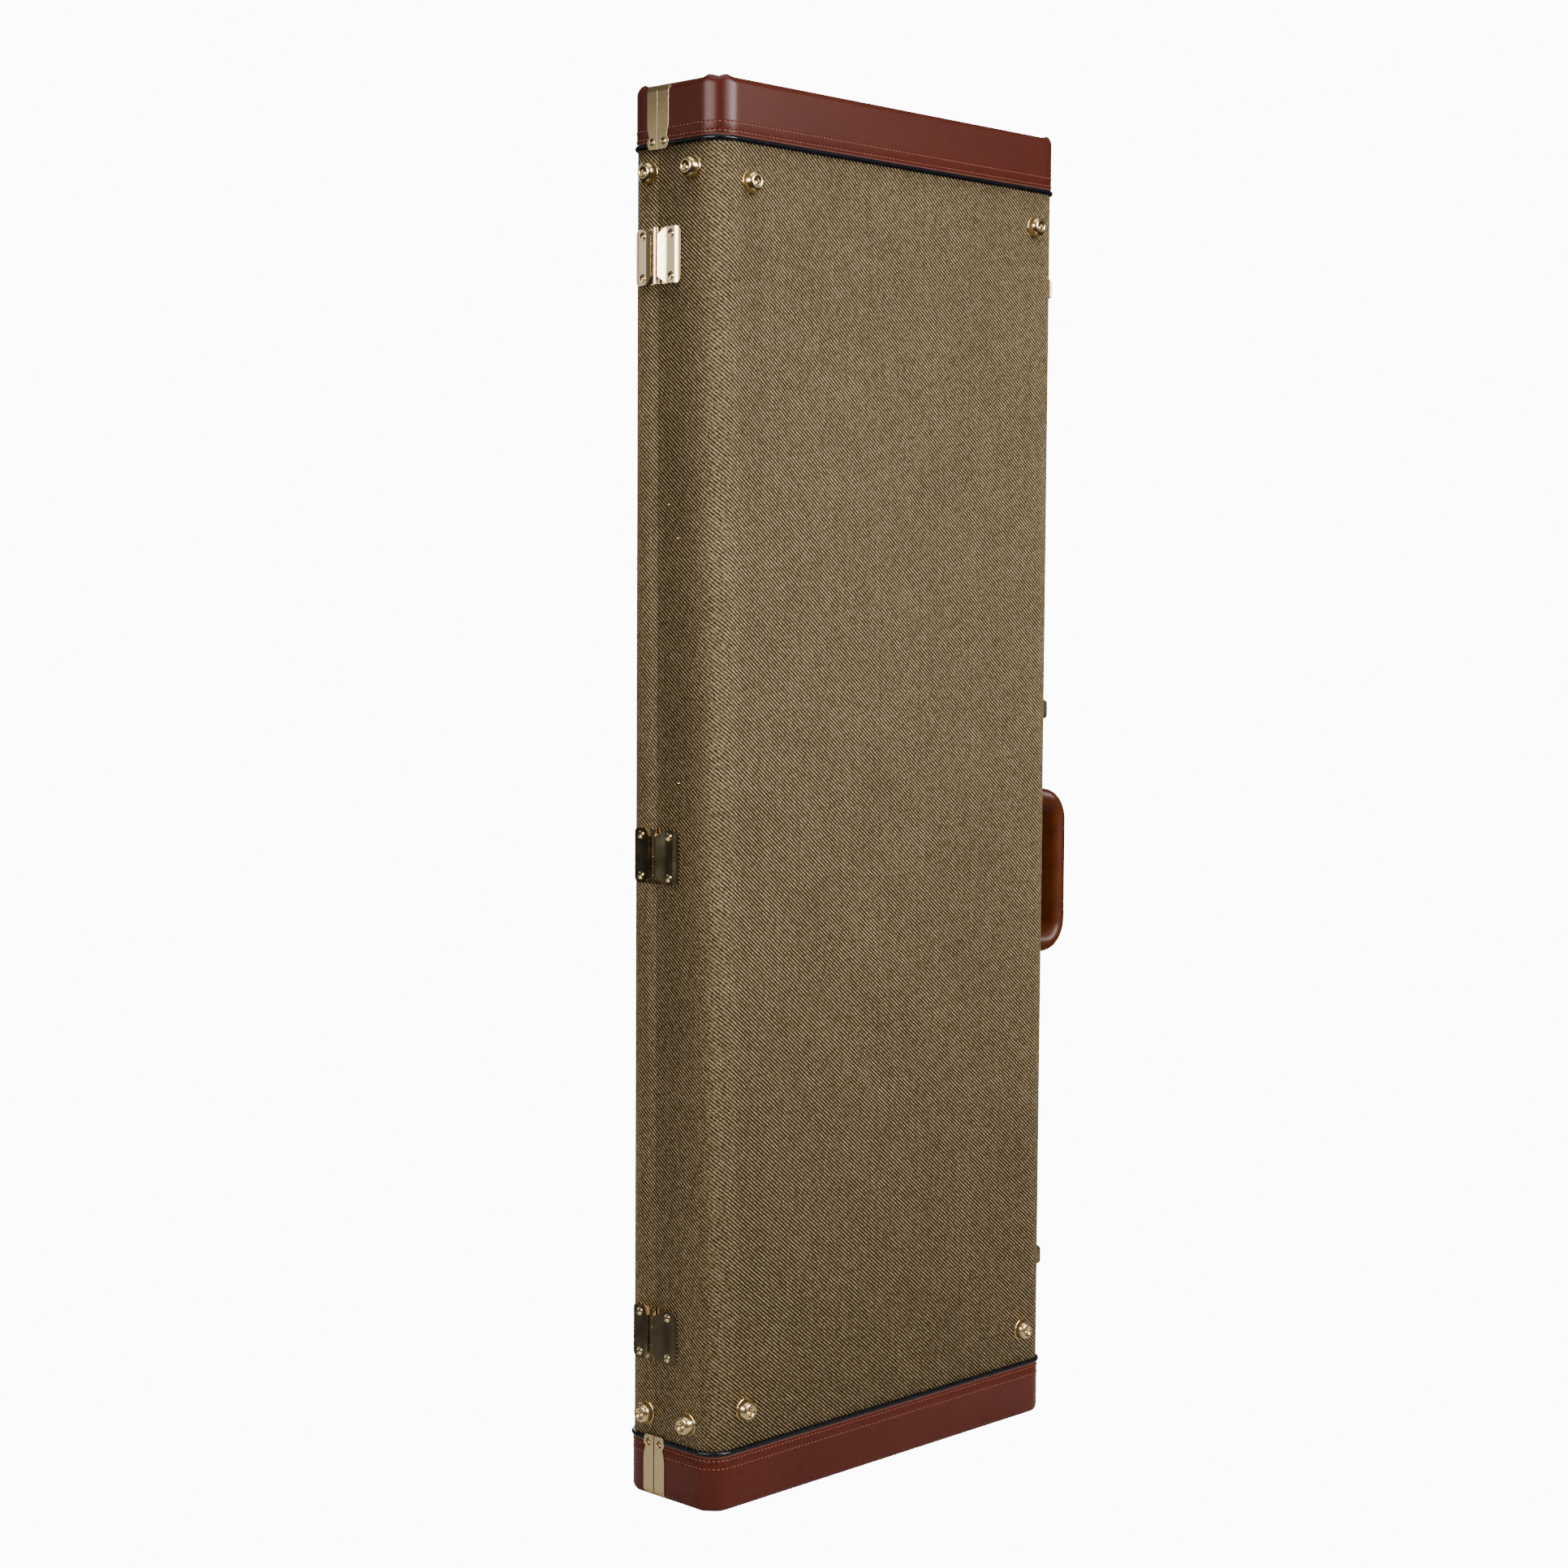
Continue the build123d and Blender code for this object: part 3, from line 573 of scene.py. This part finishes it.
def make_leatherette():
    material, tree, shader = finish_named("leatherette")
    place = object_place(tree)
    broad = noise_at(tree, place, **leather_broad)
    fine = noise_at(tree, place, **leather_fine)
    grain = node_in(tree, "ShaderNodeTexVoronoi", feature="SMOOTH_F1", Scale=leather_grain)
    tree.links.new(place, grain.inputs["Vector"])
    share = chain(tree, "MULTIPLY_ADD", fine, fine_share, graded(tree, broad, **broad_share))
    split = node_in(tree, "ShaderNodeSeparateXYZ")
    tree.links.new(place, split.inputs[0])
    from_top = chain(tree, "SUBTRACT", case_length, split.outputs["Z"])
    from_end = chain(tree, "MINIMUM", split.outputs["Z"], from_top)
    from_edge = chain(tree, "SUBTRACT", cap_height, from_end)
    # The lip of the turned edge is painted lighter: a painted highlight where it catches the
    # light.
    lit_lip = chain(tree, "LESS_THAN", from_edge, leather_lip)
    dyed = blend_colours(tree, share, maroon_dark, maroon)
    off_rows = [
        chain(tree, "ABSOLUTE", chain(tree, "SUBTRACT", from_edge, row)) for row in stitch_rows
    ]
    off_row = chain(tree, "MINIMUM", *off_rows)
    groove = chain(tree, "MINIMUM", chain(tree, "MULTIPLY", off_row, 1 / stitch_groove), 1.0)
    height = chain(tree, "MULTIPLY_ADD", fine, fine_height, groove)
    height = chain(tree, "MULTIPLY_ADD", grain.outputs["Distance"], grain_height, height)
    give(
        tree, shader, Base_Color=blend_colours(tree, lit_lip, dyed, maroon_highlight),
        Roughness=graded(tree, fine, **leather_rough), Specular_IOR_Level=0.22,
        Normal=raised(tree, height, **leather_bump),
    )
    return material


def pucker(co, side):
    """How far the leather is gathered, from 0 to 1, near each rounded corner of the end."""
    centre = Vector((math.copysign(flat_half, co.x), side * (half_depth - edge_radius)))
    spoke = Vector((co.x, co.y)) - centre
    rise = 0.0
    for angle in pucker_angles:
        fold = Vector((math.copysign(math.cos(angle), co.x), side * math.sin(angle)))
        beside = abs(spoke.x * fold.y - spoke.y * fold.x)
        off_middle = spoke.dot(fold) - pucker_middle
        fade = math.exp(-((off_middle / pucker_length) ** 2))
        rise += math.exp(-((beside / pucker_spread) ** 2)) * fade
    return min(rise, 1.0)


def slice_across(bm, axis, spots):
    """Cuts a sheet at places along an axis, so that it can bend there."""
    for spot in spots:
        bmesh.ops.bisect_plane(
            bm, geom=bm.verts[:] + bm.edges[:] + bm.faces[:], dist=weld_gap,
            plane_co=spot * Vector(axis), plane_no=axis,
        )


leatherette = make_leatherette()
for half, side in side_of.items():
    for end in ends:
        bm = wrap(half, leather_proud, 0.0, cap_height)
        foot = [vert for vert in bm.verts if vert.co.z < weld_gap]
        foot.sort(key=lambda vert: around(vert.co, side, leather_proud))
        sole = bm.faces.new(foot)
        sole.normal_update()
        if sole.normal.z > 0:
            sole.normal_flip()
        round_long_edges(bm, leather_proud)
        folded = [
            edge
            for edge in bm.edges
            if edge.is_manifold and max(vert.co.z for vert in edge.verts) < weld_gap
        ]
        bmesh.ops.bevel(
            bm, geom=folded, offset=leather_roll, affect="EDGES", segments=roll_segments,
            profile=0.5, material=-1,
        )
        for way in (-1, 1):
            slice_across(bm, (1.0, 0.0, 0.0), [
                way * (flat_half - count * corner_cut) for count in range(corner_cuts_across)
            ])
        slice_across(bm, (0.0, 1.0, 0.0), [
            side * (half_depth - edge_radius - count * corner_cut)
            for count in range(corner_cuts_deep)
        ])
        slice_across(bm, (0.0, 0.0, 1.0), fold_levels)
        tuck_line = y_span(half + "_edge_strip_" + end, half)[1] - side * tuck_step
        slice_across(bm, (0.0, 1.0, 0.0), [
            tuck_line + way * tuck_step / 2 for way in (-1, 1)
        ])
        for vert in bm.verts:
            near_end = max(0.0, 1.0 - vert.co.z / fold_reach)
            vert.co.z -= pucker_rise[end] * pucker(vert.co, side) * near_end
            if side * (vert.co.y - tuck_line) < 0:
                vert.co.z += tuck_depth * near_end
        if end == "top":
            for vert in bm.verts:
                vert.co.z = case_length - vert.co.z
            bmesh.ops.reverse_faces(bm, faces=bm.faces[:])
        piece = link(half + "_leather_" + end, close(bm, "leather"), leatherette)
        thicken = piece.modifiers.new("thickness", "SOLIDIFY")
        thicken.thickness = leather_thickness
        lip = piece.modifiers.new("lip", "BEVEL")
        lip.width = leather_lip / 2
        lip.segments = 2
        lip.limit_method = "ANGLE"
        lip.angle_limit = math.radians(60)
        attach(piece, half)
        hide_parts(half + "_cap_" + end)


# Thread: two rows of orange-brown lockstitch near the edge of each leather end. Each stitch
# is a short round length of thread, half sunk in its row's groove.
stitch_pitch = 0.0036
stitch_length = 0.0021
stitch_radius = 0.00055
seam_margin = 0.001
thread_colour = (0.520, 0.145, 0.062)
thread_shadow = 0.55
thread_twist = {"scale": 2600.0, "detail": 2.0}


def make_thread():
    material, tree, shader = finish_named("thread")
    twist = noise_at(tree, object_place(tree), **thread_twist)
    dark = tuple(value * thread_shadow for value in thread_colour)
    give(
        tree, shader, Base_Color=blend_colours(tree, twist, dark, thread_colour),
        Roughness=0.6,
    )
    return material


def on_wrap(length, side, out):
    """The place and heading on a half's outer sides at a length round from its middle."""
    radius = edge_radius + out
    way = math.copysign(1.0, length)
    left = abs(length)
    far_side = side * (half_depth + out)
    if left <= flat_half:
        return Vector((way * left, far_side)), Vector((way, 0.0))
    turn = min((left - flat_half) / radius, math.pi / 2)
    centre = Vector((way * flat_half, far_side - side * radius))
    spot = centre + radius * Vector((way * math.sin(turn), side * math.cos(turn)))
    heading = Vector((way * math.cos(turn), -side * math.sin(turn)))
    rest = max(left - flat_half - radius * math.pi / 2, 0.0)
    return spot + rest * heading, heading


thread = make_thread()
bm = bmesh.new()
bmesh.ops.create_uvsphere(
    bm, u_segments=6, v_segments=4, radius=1.0, matrix=Matrix.Rotation(math.pi / 2, 4, "Y")
)
bmesh.ops.scale(bm, verts=bm.verts[:], vec=(stitch_length / 2, stitch_radius, stitch_radius))
one_stitch = close(bm, "one_stitch")
for half, side in side_of.items():
    seam_edge = Vector((half_width, y_span(half + "_edge_strip_top", half)[1], 0.0))
    seam_half = abs(around(seam_edge, side, leather_proud)) - seam_margin
    count = int(2 * seam_half / stitch_pitch)
    row_heights = [cap_height - row for row in stitch_rows]
    row_heights += [case_length - height for height in row_heights]
    bm = bmesh.new()
    for index in range(count + 1):
        length = -seam_half + 2 * seam_half * index / count
        spot, heading = on_wrap(length, side, leather_proud)
        turn = Matrix.Rotation(math.atan2(heading.y, heading.x), 4, "Z")
        for height in row_heights:
            known = len(bm.verts)
            bm.from_mesh(one_stitch)
            bm.verts.ensure_lookup_table()
            stand = Matrix.Translation((spot.x, spot.y, height)) @ turn
            bmesh.ops.transform(bm, matrix=stand, verts=bm.verts[known:])
    piece = link(half + "_stitching", close(bm, "stitching"), thread)
    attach(piece, half)
bpy.data.meshes.remove(one_stitch)


# Piping: a bead of black vinyl, sewn in between cloth and leather. It runs round each end
# of each half and stops at the parting line.
piping_round = 0.0001
vinyl_dark = (0.003, 0.003, 0.005)
vinyl_light = (0.008, 0.008, 0.012)
vinyl_ripple = {"scale": 160.0, "detail": 3.0}
vinyl_rough = {"change": 0.12, "least": 0.16}
vinyl_bump = {"strength": 0.08, "distance": 0.0003}


def make_vinyl():
    material, tree, shader = finish_named("black_vinyl")
    ripple = noise_at(tree, object_place(tree), **vinyl_ripple)
    give(
        tree, shader, Base_Color=blend_colours(tree, ripple, vinyl_dark, vinyl_light),
        Roughness=graded(tree, ripple, **vinyl_rough), Specular_IOR_Level=0.3,
        Normal=raised(tree, ripple, **vinyl_bump),
    )
    return material


vinyl = make_vinyl()
for half in side_of:
    for end in ends:
        refine(half + "_piping_" + end, vinyl, piping_round)


# Edge strips: satin brass sheet, bent over the leather of each end beside the parting line,
# one strip per half. Each tip of a strip is a rounded tab, held by a nail.
strip_round = 0.0003
satin_light = (0.640, 0.500, 0.275)
satin_dark = (0.540, 0.405, 0.205)
satin_rough = {"change": 0.10, "least": 0.13}
brass_patch = {"scale": 90.0, "detail": 5.0, "roughness": 0.6}
brass_brush = {"scale": 2400.0, "detail": 3.0}
brush_along = (1.0, 1.0, 0.04)
brush_bump = {"strength": 0.05, "distance": 0.00002}


def make_brass(name, light, dark, rough):
    """Lacquered brass, faintly brushed, darker and smoother in patches from handling."""
    material, tree, shader = finish_named(name)
    patch = noise_at(tree, object_place(tree), **brass_patch)
    brush = noise_at(tree, object_place(tree, brush_along), **brass_brush)
    give(
        tree, shader, Base_Color=blend_colours(tree, patch, dark, light), Metallic=1.0,
        Roughness=graded(tree, patch, **rough), Normal=raised(tree, brush, **brush_bump),
    )
    return material


satin_brass = make_brass("satin_brass", satin_light, satin_dark, satin_rough)
for half in side_of:
    for end in ends:
        refine(half + "_edge_strip_" + end, satin_brass, strip_round)


# Stop hinges: three, each of two leaves of pressed and polished brass. One leaf is riveted
# to each half, and their six knuckles turn on one pin.
levels = ("low", "middle", "top")
leaf_round = 0.0003
leaf_round_segments = 3
pin_round = 0.00025
brass_light = (0.830, 0.680, 0.430)
brass_dark = (0.600, 0.450, 0.250)
brass_rough = {"change": 0.18, "least": 0.08}
brass = make_brass("brass", brass_light, brass_dark, brass_rough)
for half in side_of:
    for level in levels:
        refine("hinge_" + level + "_" + half + "_leaf", brass, leaf_round, leaf_round_segments)
refine("hinge_pins", brass, pin_round)


# Draw latches: three on the handle side, of the same brass. The plate's ears carry the
# lever on a pin, and the lever pulls a wire bail over the lug of its keeper on the lid.
latch_rounds = {"plate": 0.0002, "lever": 0.0002, "bail": 0.0001, "keeper": 0.0002}
for level in levels:
    for part, width in latch_rounds.items():
        refine("latch_" + level + "_" + part, brass, width)
refine("latch_pins", brass, pin_round)


# Handle hardware: two brass brackets, screwed to the handle side of the base. A pin in each
# carries the brass eye that holds one end of the grip.
for name in ("handle_pins", "handle_bracket_lower", "handle_bracket_upper", "handle_eyes"):
    refine(name, brass, pin_round)


# Glides: turned brass buttons that the case stands and slides on, four on the big face and
# two on the hinge side of each half. Each has a rim, a round body with a rolled crown, and a
# funnel down to the head of the rivet that holds it.
turned_light = (0.800, 0.620, 0.340)
turned_dark = (0.620, 0.450, 0.210)
turned_rough = {"change": 0.12, "least": 0.15}
glide_steps = 56
rim_height = 0.0007
rim_round = 0.0004
body_inset = 0.0006
waist = (0.0013, 0.0017)
shoulder = 0.0022
crown_radius = 0.0046
crown_rings = 14
crown_round = 0.0022
mouth_radius = 0.0030
mouth_depth = 0.0016
mouth_round = 0.0006
funnel_depth = 0.0044
rivet_head = ((0.0019, 0.0), (0.0018, 0.0004), (0.0016, 0.0009), (0.0010, 0.0012), (0.0, 0.0013))
piece_body = {
    name: body
    for body, names in frame["record"]["behaviour"]["bodies"].items()
    for name in names
}


def lathe(bm, outline, steps, stand):
    """Turns an outline of radius and height about its axis and stands it in its place."""
    known = set(bm.verts)
    points = [bm.verts.new((radius, 0.0, height)) for radius, height in outline]
    line = [bm.edges.new(pair) for pair in zip(points, points[1:])]
    bmesh.ops.spin(
        bm, geom=points + line, cent=(0.0, 0.0, 0.0), axis=(0.0, 0.0, 1.0),
        angle=2 * math.pi, steps=steps, use_merge=True,
    )
    fresh = [vert for vert in bm.verts if vert not in known]
    bmesh.ops.transform(bm, matrix=stand, verts=fresh)


def arc(centre, radius, start, stop, steps):
    """Points of radius and height on a round stretch of an outline, angles in degrees."""
    angles = [math.radians(start + (stop - start) * k / steps) for k in range(steps + 1)]
    return [(centre[0] + radius * math.cos(a), centre[1] + radius * math.sin(a)) for a in angles]


def solids_in(name):
    """The lowest and highest corners of each separate solid of a CAD piece."""
    bm = bmesh.new()
    bm.from_mesh(frame["nodes"][name].data)
    bmesh.ops.remove_doubles(bm, verts=bm.verts[:], dist=weld_gap)
    boxes = []
    known = set()
    for first in bm.verts:
        if first in known:
            continue
        known.add(first)
        stack = [first]
        island = []
        while stack:
            vert = stack.pop()
            island.append(vert.co.copy())
            for edge in vert.link_edges:
                other = edge.other_vert(vert)
                if other not in known:
                    known.add(other)
                    stack.append(other)
        boxes.append([
            Vector([pick(co[k] for co in island) for k in range(3)]) for pick in (min, max)
        ])
    bm.free()
    return boxes


def seat(box, facing):
    """Where a turned piece stands, with its own height pointing out of the case."""
    centre = (box[0] + box[1]) / 2
    if facing == "face":
        return Matrix.Translation((centre.x, box[1].y, centre.z)) @ Matrix.Rotation(
            math.pi / 2, 4, "X"
        )
    way = math.copysign(1.0, centre.x)
    x = box[0].x if way > 0 else box[1].x
    return Matrix.Translation((x, centre.y, centre.z)) @ Matrix.Rotation(
        way * math.pi / 2, 4, "Y"
    )


def radius_and_rise(box):
    """The radius and the height of a round solid that stands out of the case."""
    sizes = sorted(box[1] - box[0])
    return sizes[2] / 2, sizes[0]


def turned_set(name, outline_of, facing, steps):
    """Replaces each solid of a CAD piece by a turned one of the same size."""
    bm = bmesh.new()
    for box in solids_in(name):
        lathe(bm, outline_of(*radius_and_rise(box)), steps, seat(box, facing))
    bmesh.ops.remove_doubles(bm, verts=bm.verts[:], dist=weld_gap)
    bmesh.ops.recalc_face_normals(bm, faces=bm.faces[:])
    piece = link(name + "_turned", close(bm, name), turned_brass)
    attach(piece, piece_body[name])
    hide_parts(name)


def glide_outline(radius, rise):
    """A glide from its rim up over the crown and down the funnel to its rivet."""
    body = radius - body_inset
    outline = [(radius, 0.0), (radius, rim_height)]
    outline += arc((radius - rim_round, rim_height), rim_round, 0, 90, 3)
    outline += [(body, height) for height in waist]
    outline += [
        (crown_radius + (body - crown_radius) * run, shoulder + (rise - shoulder) * lift)
        for run, lift in arc((0.0, 0.0), 1.0, 0, 90, crown_rings)
    ]
    outline += arc((crown_radius, rise - crown_round), crown_round, 90, 130, 4)
    outline += arc((mouth_radius, rise - mouth_depth), mouth_round, 115, 180, 4)
    return outline + [(out, rise - funnel_depth + height) for out, height in rivet_head]


turned_brass = make_brass("turned_brass", turned_light, turned_dark, turned_rough)
turned_set("face_feet", glide_outline, "face", glide_steps)
turned_set("base_side_feet", glide_outline, "side", glide_steps)
turned_set("lid_side_feet", glide_outline, "side", glide_steps)


# Rivets, nails and screws: low domed brass heads that hold hinges, latches, strips and
# brackets, and three small tacks on the hinge side. Each is as wide and as high as its solid.
dome_steps = 20
dome_rings = 5
dome_skirt = 0.0003


def dome_outline(radius, rise):
    """A low dome over a short skirt that is sunk in what the head holds."""
    ball = (radius * radius + rise * rise) / (2 * rise)
    spread = math.degrees(math.asin(min(radius / ball, 1.0)))
    curve = arc((0.0, rise - ball), ball, 90 - spread, 90, dome_rings)
    return [(radius, -dome_skirt)] + curve[:-1] + [(0.0, rise)]


for name in ("base_rivets", "lid_rivets", "base_nails", "lid_nails", "bracket_screws"):
    turned_set(name, dome_outline, "side", dome_steps)


# Handle: a padded leather grip, bent into a flat U and held at each end by a brass eye. It
# is a flat oval in section and narrows towards the eyes.
grip_low, grip_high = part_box("handle_grip")
grip_width = 0.026
grip_thickness = 0.015
grip_bend = 0.020
grip_segments = 28
grip_steps = {"arm": 6, "bend": 12, "bar": 24}
end_narrow = 0.5
narrow_run = 0.016
end_round = 0.0012
handle_tan = (0.185, 0.043, 0.008)
handle_dark = (0.062, 0.012, 0.002)
handle_broad = {"scale": 38.0, "detail": 5.0, "roughness": 0.6}
handle_fine = {"scale": 900.0, "detail": 4.0}
handle_share = {"change": 1.5, "least": -0.3}
handle_rough = {"change": 0.2, "least": 0.26}
handle_bump = {"strength": 0.15, "distance": 0.0002}


def make_handle_leather():
    material, tree, shader = finish_named("handle_leather")
    place = object_place(tree)
    broad = noise_at(tree, place, **handle_broad)
    fine = noise_at(tree, place, **handle_fine)
    share = graded(tree, broad, **handle_share)
    give(
        tree, shader, Base_Color=blend_colours(tree, share, handle_dark, handle_tan),
        Roughness=graded(tree, fine, **handle_rough), Specular_IOR_Level=0.22,
        Normal=raised(tree, fine, **handle_bump),
    )
    return material


def draw_on(bm, ring, steps, shift=(0.0, 0.0, 0.0), turn=0.0, about=(0.0, 0.0, 0.0)):
    """Draws the grip's last ring on, straight or round a bend, and returns the new last."""
    return bmesh.ops.spin(
        bm, geom=ring, cent=about, axis=(0.0, -1.0, 0.0), angle=turn, steps=steps,
        dvec=Vector(shift) / steps,
    )["geom_last"]


handle_leather = make_handle_leather()
grip_y = (grip_low.y + grip_high.y) / 2
arm_low = grip_low.z + grip_thickness / 2
arm_high = grip_high.z - grip_thickness / 2
bend_x = grip_high.x - grip_thickness / 2 - grip_bend
arm_length = bend_x - grip_low.x
bar_length = arm_high - arm_low - 2 * grip_bend
bm = bmesh.new()
section = bmesh.ops.create_circle(bm, segments=grip_segments, radius=grip_thickness / 2)["verts"]
for vert in section:
    vert.co.x += math.copysign((grip_width - grip_thickness) / 2, vert.co.x)
across_arm = Matrix.Rotation(math.pi / 2, 4, "Y") @ Matrix.Rotation(math.pi / 2, 4, "Z")
stand = Matrix.Translation((grip_low.x, grip_y, arm_low)) @ across_arm
bmesh.ops.transform(bm, matrix=stand, verts=section)
ring = bm.edges[:] + bm.verts[:]
bmesh.ops.edgenet_fill(bm, edges=bm.edges[:])
ring = draw_on(bm, ring, grip_steps["arm"], shift=(arm_length, 0.0, 0.0))
low_bend = (bend_x, grip_y, arm_low + grip_bend)
ring = draw_on(bm, ring, grip_steps["bend"], turn=math.pi / 2, about=low_bend)
ring = draw_on(bm, ring, grip_steps["bar"], shift=(0.0, 0.0, bar_length))
high_bend = (bend_x, grip_y, arm_high - grip_bend)
ring = draw_on(bm, ring, grip_steps["bend"], turn=math.pi / 2, about=high_bend)
ring = draw_on(bm, ring, grip_steps["arm"], shift=(-arm_length, 0.0, 0.0))
bmesh.ops.edgenet_fill(bm, edges=[part for part in ring if isinstance(part, bmesh.types.BMEdge)])
bmesh.ops.remove_doubles(bm, verts=bm.verts[:], dist=weld_gap)
bmesh.ops.recalc_face_normals(bm, faces=bm.faces[:])
for vert in bm.verts:
    run = min((vert.co.x - grip_low.x) / narrow_run, 1.0)
    share = end_narrow + (1 - end_narrow) * math.sin(run * math.pi / 2)
    vert.co.y = grip_y + (vert.co.y - grip_y) * share
grip = link("handle_leather_grip", close(bm, "grip"), handle_leather)
end_edge = grip.modifiers.new("rim", "BEVEL")
end_edge.width = end_round
end_edge.segments = 3
end_edge.limit_method = "ANGLE"
end_edge.angle_limit = math.radians(50)
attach(grip, "handle")
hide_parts("handle_grip")


# Plush: dark red short-pile cloth over foam. It lines both halves and covers the blocks
# that hold the guitar and make the open accessory box. Foam blocks are blown up slack
# skins, boards and linings have rolled edges.
lining_round = 0.0015
lining_segments = 4
lining_sharp = math.radians(40)
facet_angle = math.radians(1)
pad_voxel = 0.0055
pad_smoothing = 3
pad_slack = 0.0035
pad_swell = 0.0042
pad_clear = 0.0001
pad_pressure = 4.0
pad_mass = 0.3
pad_quality = 4
pad_frames = 20
plush_dark = (0.055, 0.005, 0.008)
plush_light = (0.170, 0.016, 0.022)
plush_sheen = (0.9, 0.35, 0.35, 1.0)
plush_nap = {"scale": 28.0, "detail": 4.0, "roughness": 0.6}
plush_pile = {"scale": 1800.0, "detail": 3.0, "roughness": 0.7}
nap_share = {"change": 0.9, "least": -0.2}
pile_share = 0.6
pile_bump = {"strength": 0.8, "distance": 0.0008}


def make_plush():
    material, tree, shader = finish_named("plush")
    place = object_place(tree)
    nap = noise_at(tree, place, **plush_nap)
    pile = noise_at(tree, place, **plush_pile)
    share = chain(tree, "MULTIPLY_ADD", pile, pile_share, graded(tree, nap, **nap_share))
    give(
        tree, shader, Base_Color=blend_colours(tree, share, plush_dark, plush_light),
        Roughness=0.95, Specular_IOR_Level=0.1, Sheen_Weight=0.5, Sheen_Roughness=0.4,
        Sheen_Tint=plush_sheen, Normal=raised(tree, pile, **pile_bump),
    )
    return material


def weld_copy(name):
    """A closed copy of a CAD solid, with the facets of its flat faces joined."""
    bm = bmesh.new()
    bm.from_mesh(frame["nodes"][name].data)
    bmesh.ops.remove_doubles(bm, verts=bm.verts[:], dist=weld_gap)
    bmesh.ops.dissolve_limit(bm, angle_limit=facet_angle, verts=bm.verts[:], edges=bm.edges[:])
    return bm


def cover(name, mesh):
    """Puts a finished skin of plush in the place of its CAD solid."""
    piece = link(name + "_plush", mesh, plush)
    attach(piece, piece_body[name])
    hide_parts(name)
    return piece


def final_mesh(piece):
    """The mesh of a piece with its modifiers done; the piece itself goes."""
    graph = bpy.context.evaluated_depsgraph_get()
    mesh = bpy.data.meshes.new_from_object(piece.evaluated_get(graph))
    old = piece.data
    bpy.data.objects.remove(piece)
    bpy.data.meshes.remove(old)
    return mesh


def inflate(mesh):
    """Blows a closed skin up from inside, without gravity."""
    pad = link("inflated", mesh)
    cloth = pad.modifiers.new("cloth", "CLOTH")
    cloth.settings.quality = pad_quality
    cloth.settings.mass = pad_mass
    cloth.settings.use_pressure = True
    cloth.settings.uniform_pressure_force = pad_pressure
    cloth.settings.effector_weights.gravity = 0.0
    cloth.collision_settings.use_collision = False
    cloth.collision_settings.use_self_collision = False
    cloth.point_cache.frame_start = 1
    cloth.point_cache.frame_end = pad_frames
    for step in range(1, pad_frames + 1):
        bpy.context.scene.frame_set(step)
    swollen = final_mesh(pad)
    bpy.context.scene.frame_set(1)
    return swollen


def stuff(name):
    """Makes a foam block into a pad: slack skin, blown up, kept inside the block's space."""
    bm = weld_copy(name)
    bmesh.ops.triangulate(bm, faces=bm.faces[:])
    walls = BVHTree.FromBMesh(bm)
    block = link("block", close(bm, "block"))
    remesh = block.modifiers.new("remesh", "REMESH")
    remesh.mode = "VOXEL"
    remesh.voxel_size = pad_voxel
    bm = bmesh.new()
    bm.from_mesh(final_mesh(block))
    for turn in range(pad_smoothing):
        bmesh.ops.smooth_vert(
            bm, verts=bm.verts[:], factor=0.5, use_axis_x=True, use_axis_y=True, use_axis_z=True
        )
    bm.normal_update()
    for vert, outward in [(vert, vert.normal.copy()) for vert in bm.verts]:
        vert.co -= outward * pad_slack
    start = [vert.co.copy() for vert in bm.verts]
    mesh = close(bm, name)
    mesh = inflate(mesh)
    for vert, slack in zip(mesh.vertices, start):
        move = vert.co - slack
        if move.length > 0.0:
            move *= pad_swell * math.tanh(move.length / pad_swell) / move.length
        spot = slack + move
        nearest, outward = walls.find_nearest(spot)[:2]
        depth = (nearest - spot).dot(outward)
        if depth < pad_clear:
            spot += outward * (depth - pad_clear)
        vert.co = spot
    for face in mesh.polygons:
        face.use_smooth = True
    skin = cover(name, mesh).modifiers.new("skin", "SUBSURF")
    skin.levels = skin.render_levels = 1


def line_with_plush(name):
    """Wraps thin board or foam sheet in plush: every edge is rolled over."""
    bm = weld_copy(name)
    sharp = [
        edge for edge in bm.edges if edge.is_manifold and edge.calc_face_angle() > lining_sharp
    ]
    bmesh.ops.bevel(
        bm, geom=sharp, offset=lining_round, affect="EDGES", segments=lining_segments,
        profile=0.5, material=-1, clamp_overlap=True,
    )
    bmesh.ops.triangulate(bm, faces=[face for face in bm.faces if len(face.verts) > 4])
    cover(name, close(bm, name))


plush = make_plush()
for name in ("body_surround", "neck_rest", "filler_block"):
    stuff(name)
for name in ("accessory_box", "base_lining", "lid_lining"):
    line_with_plush(name)
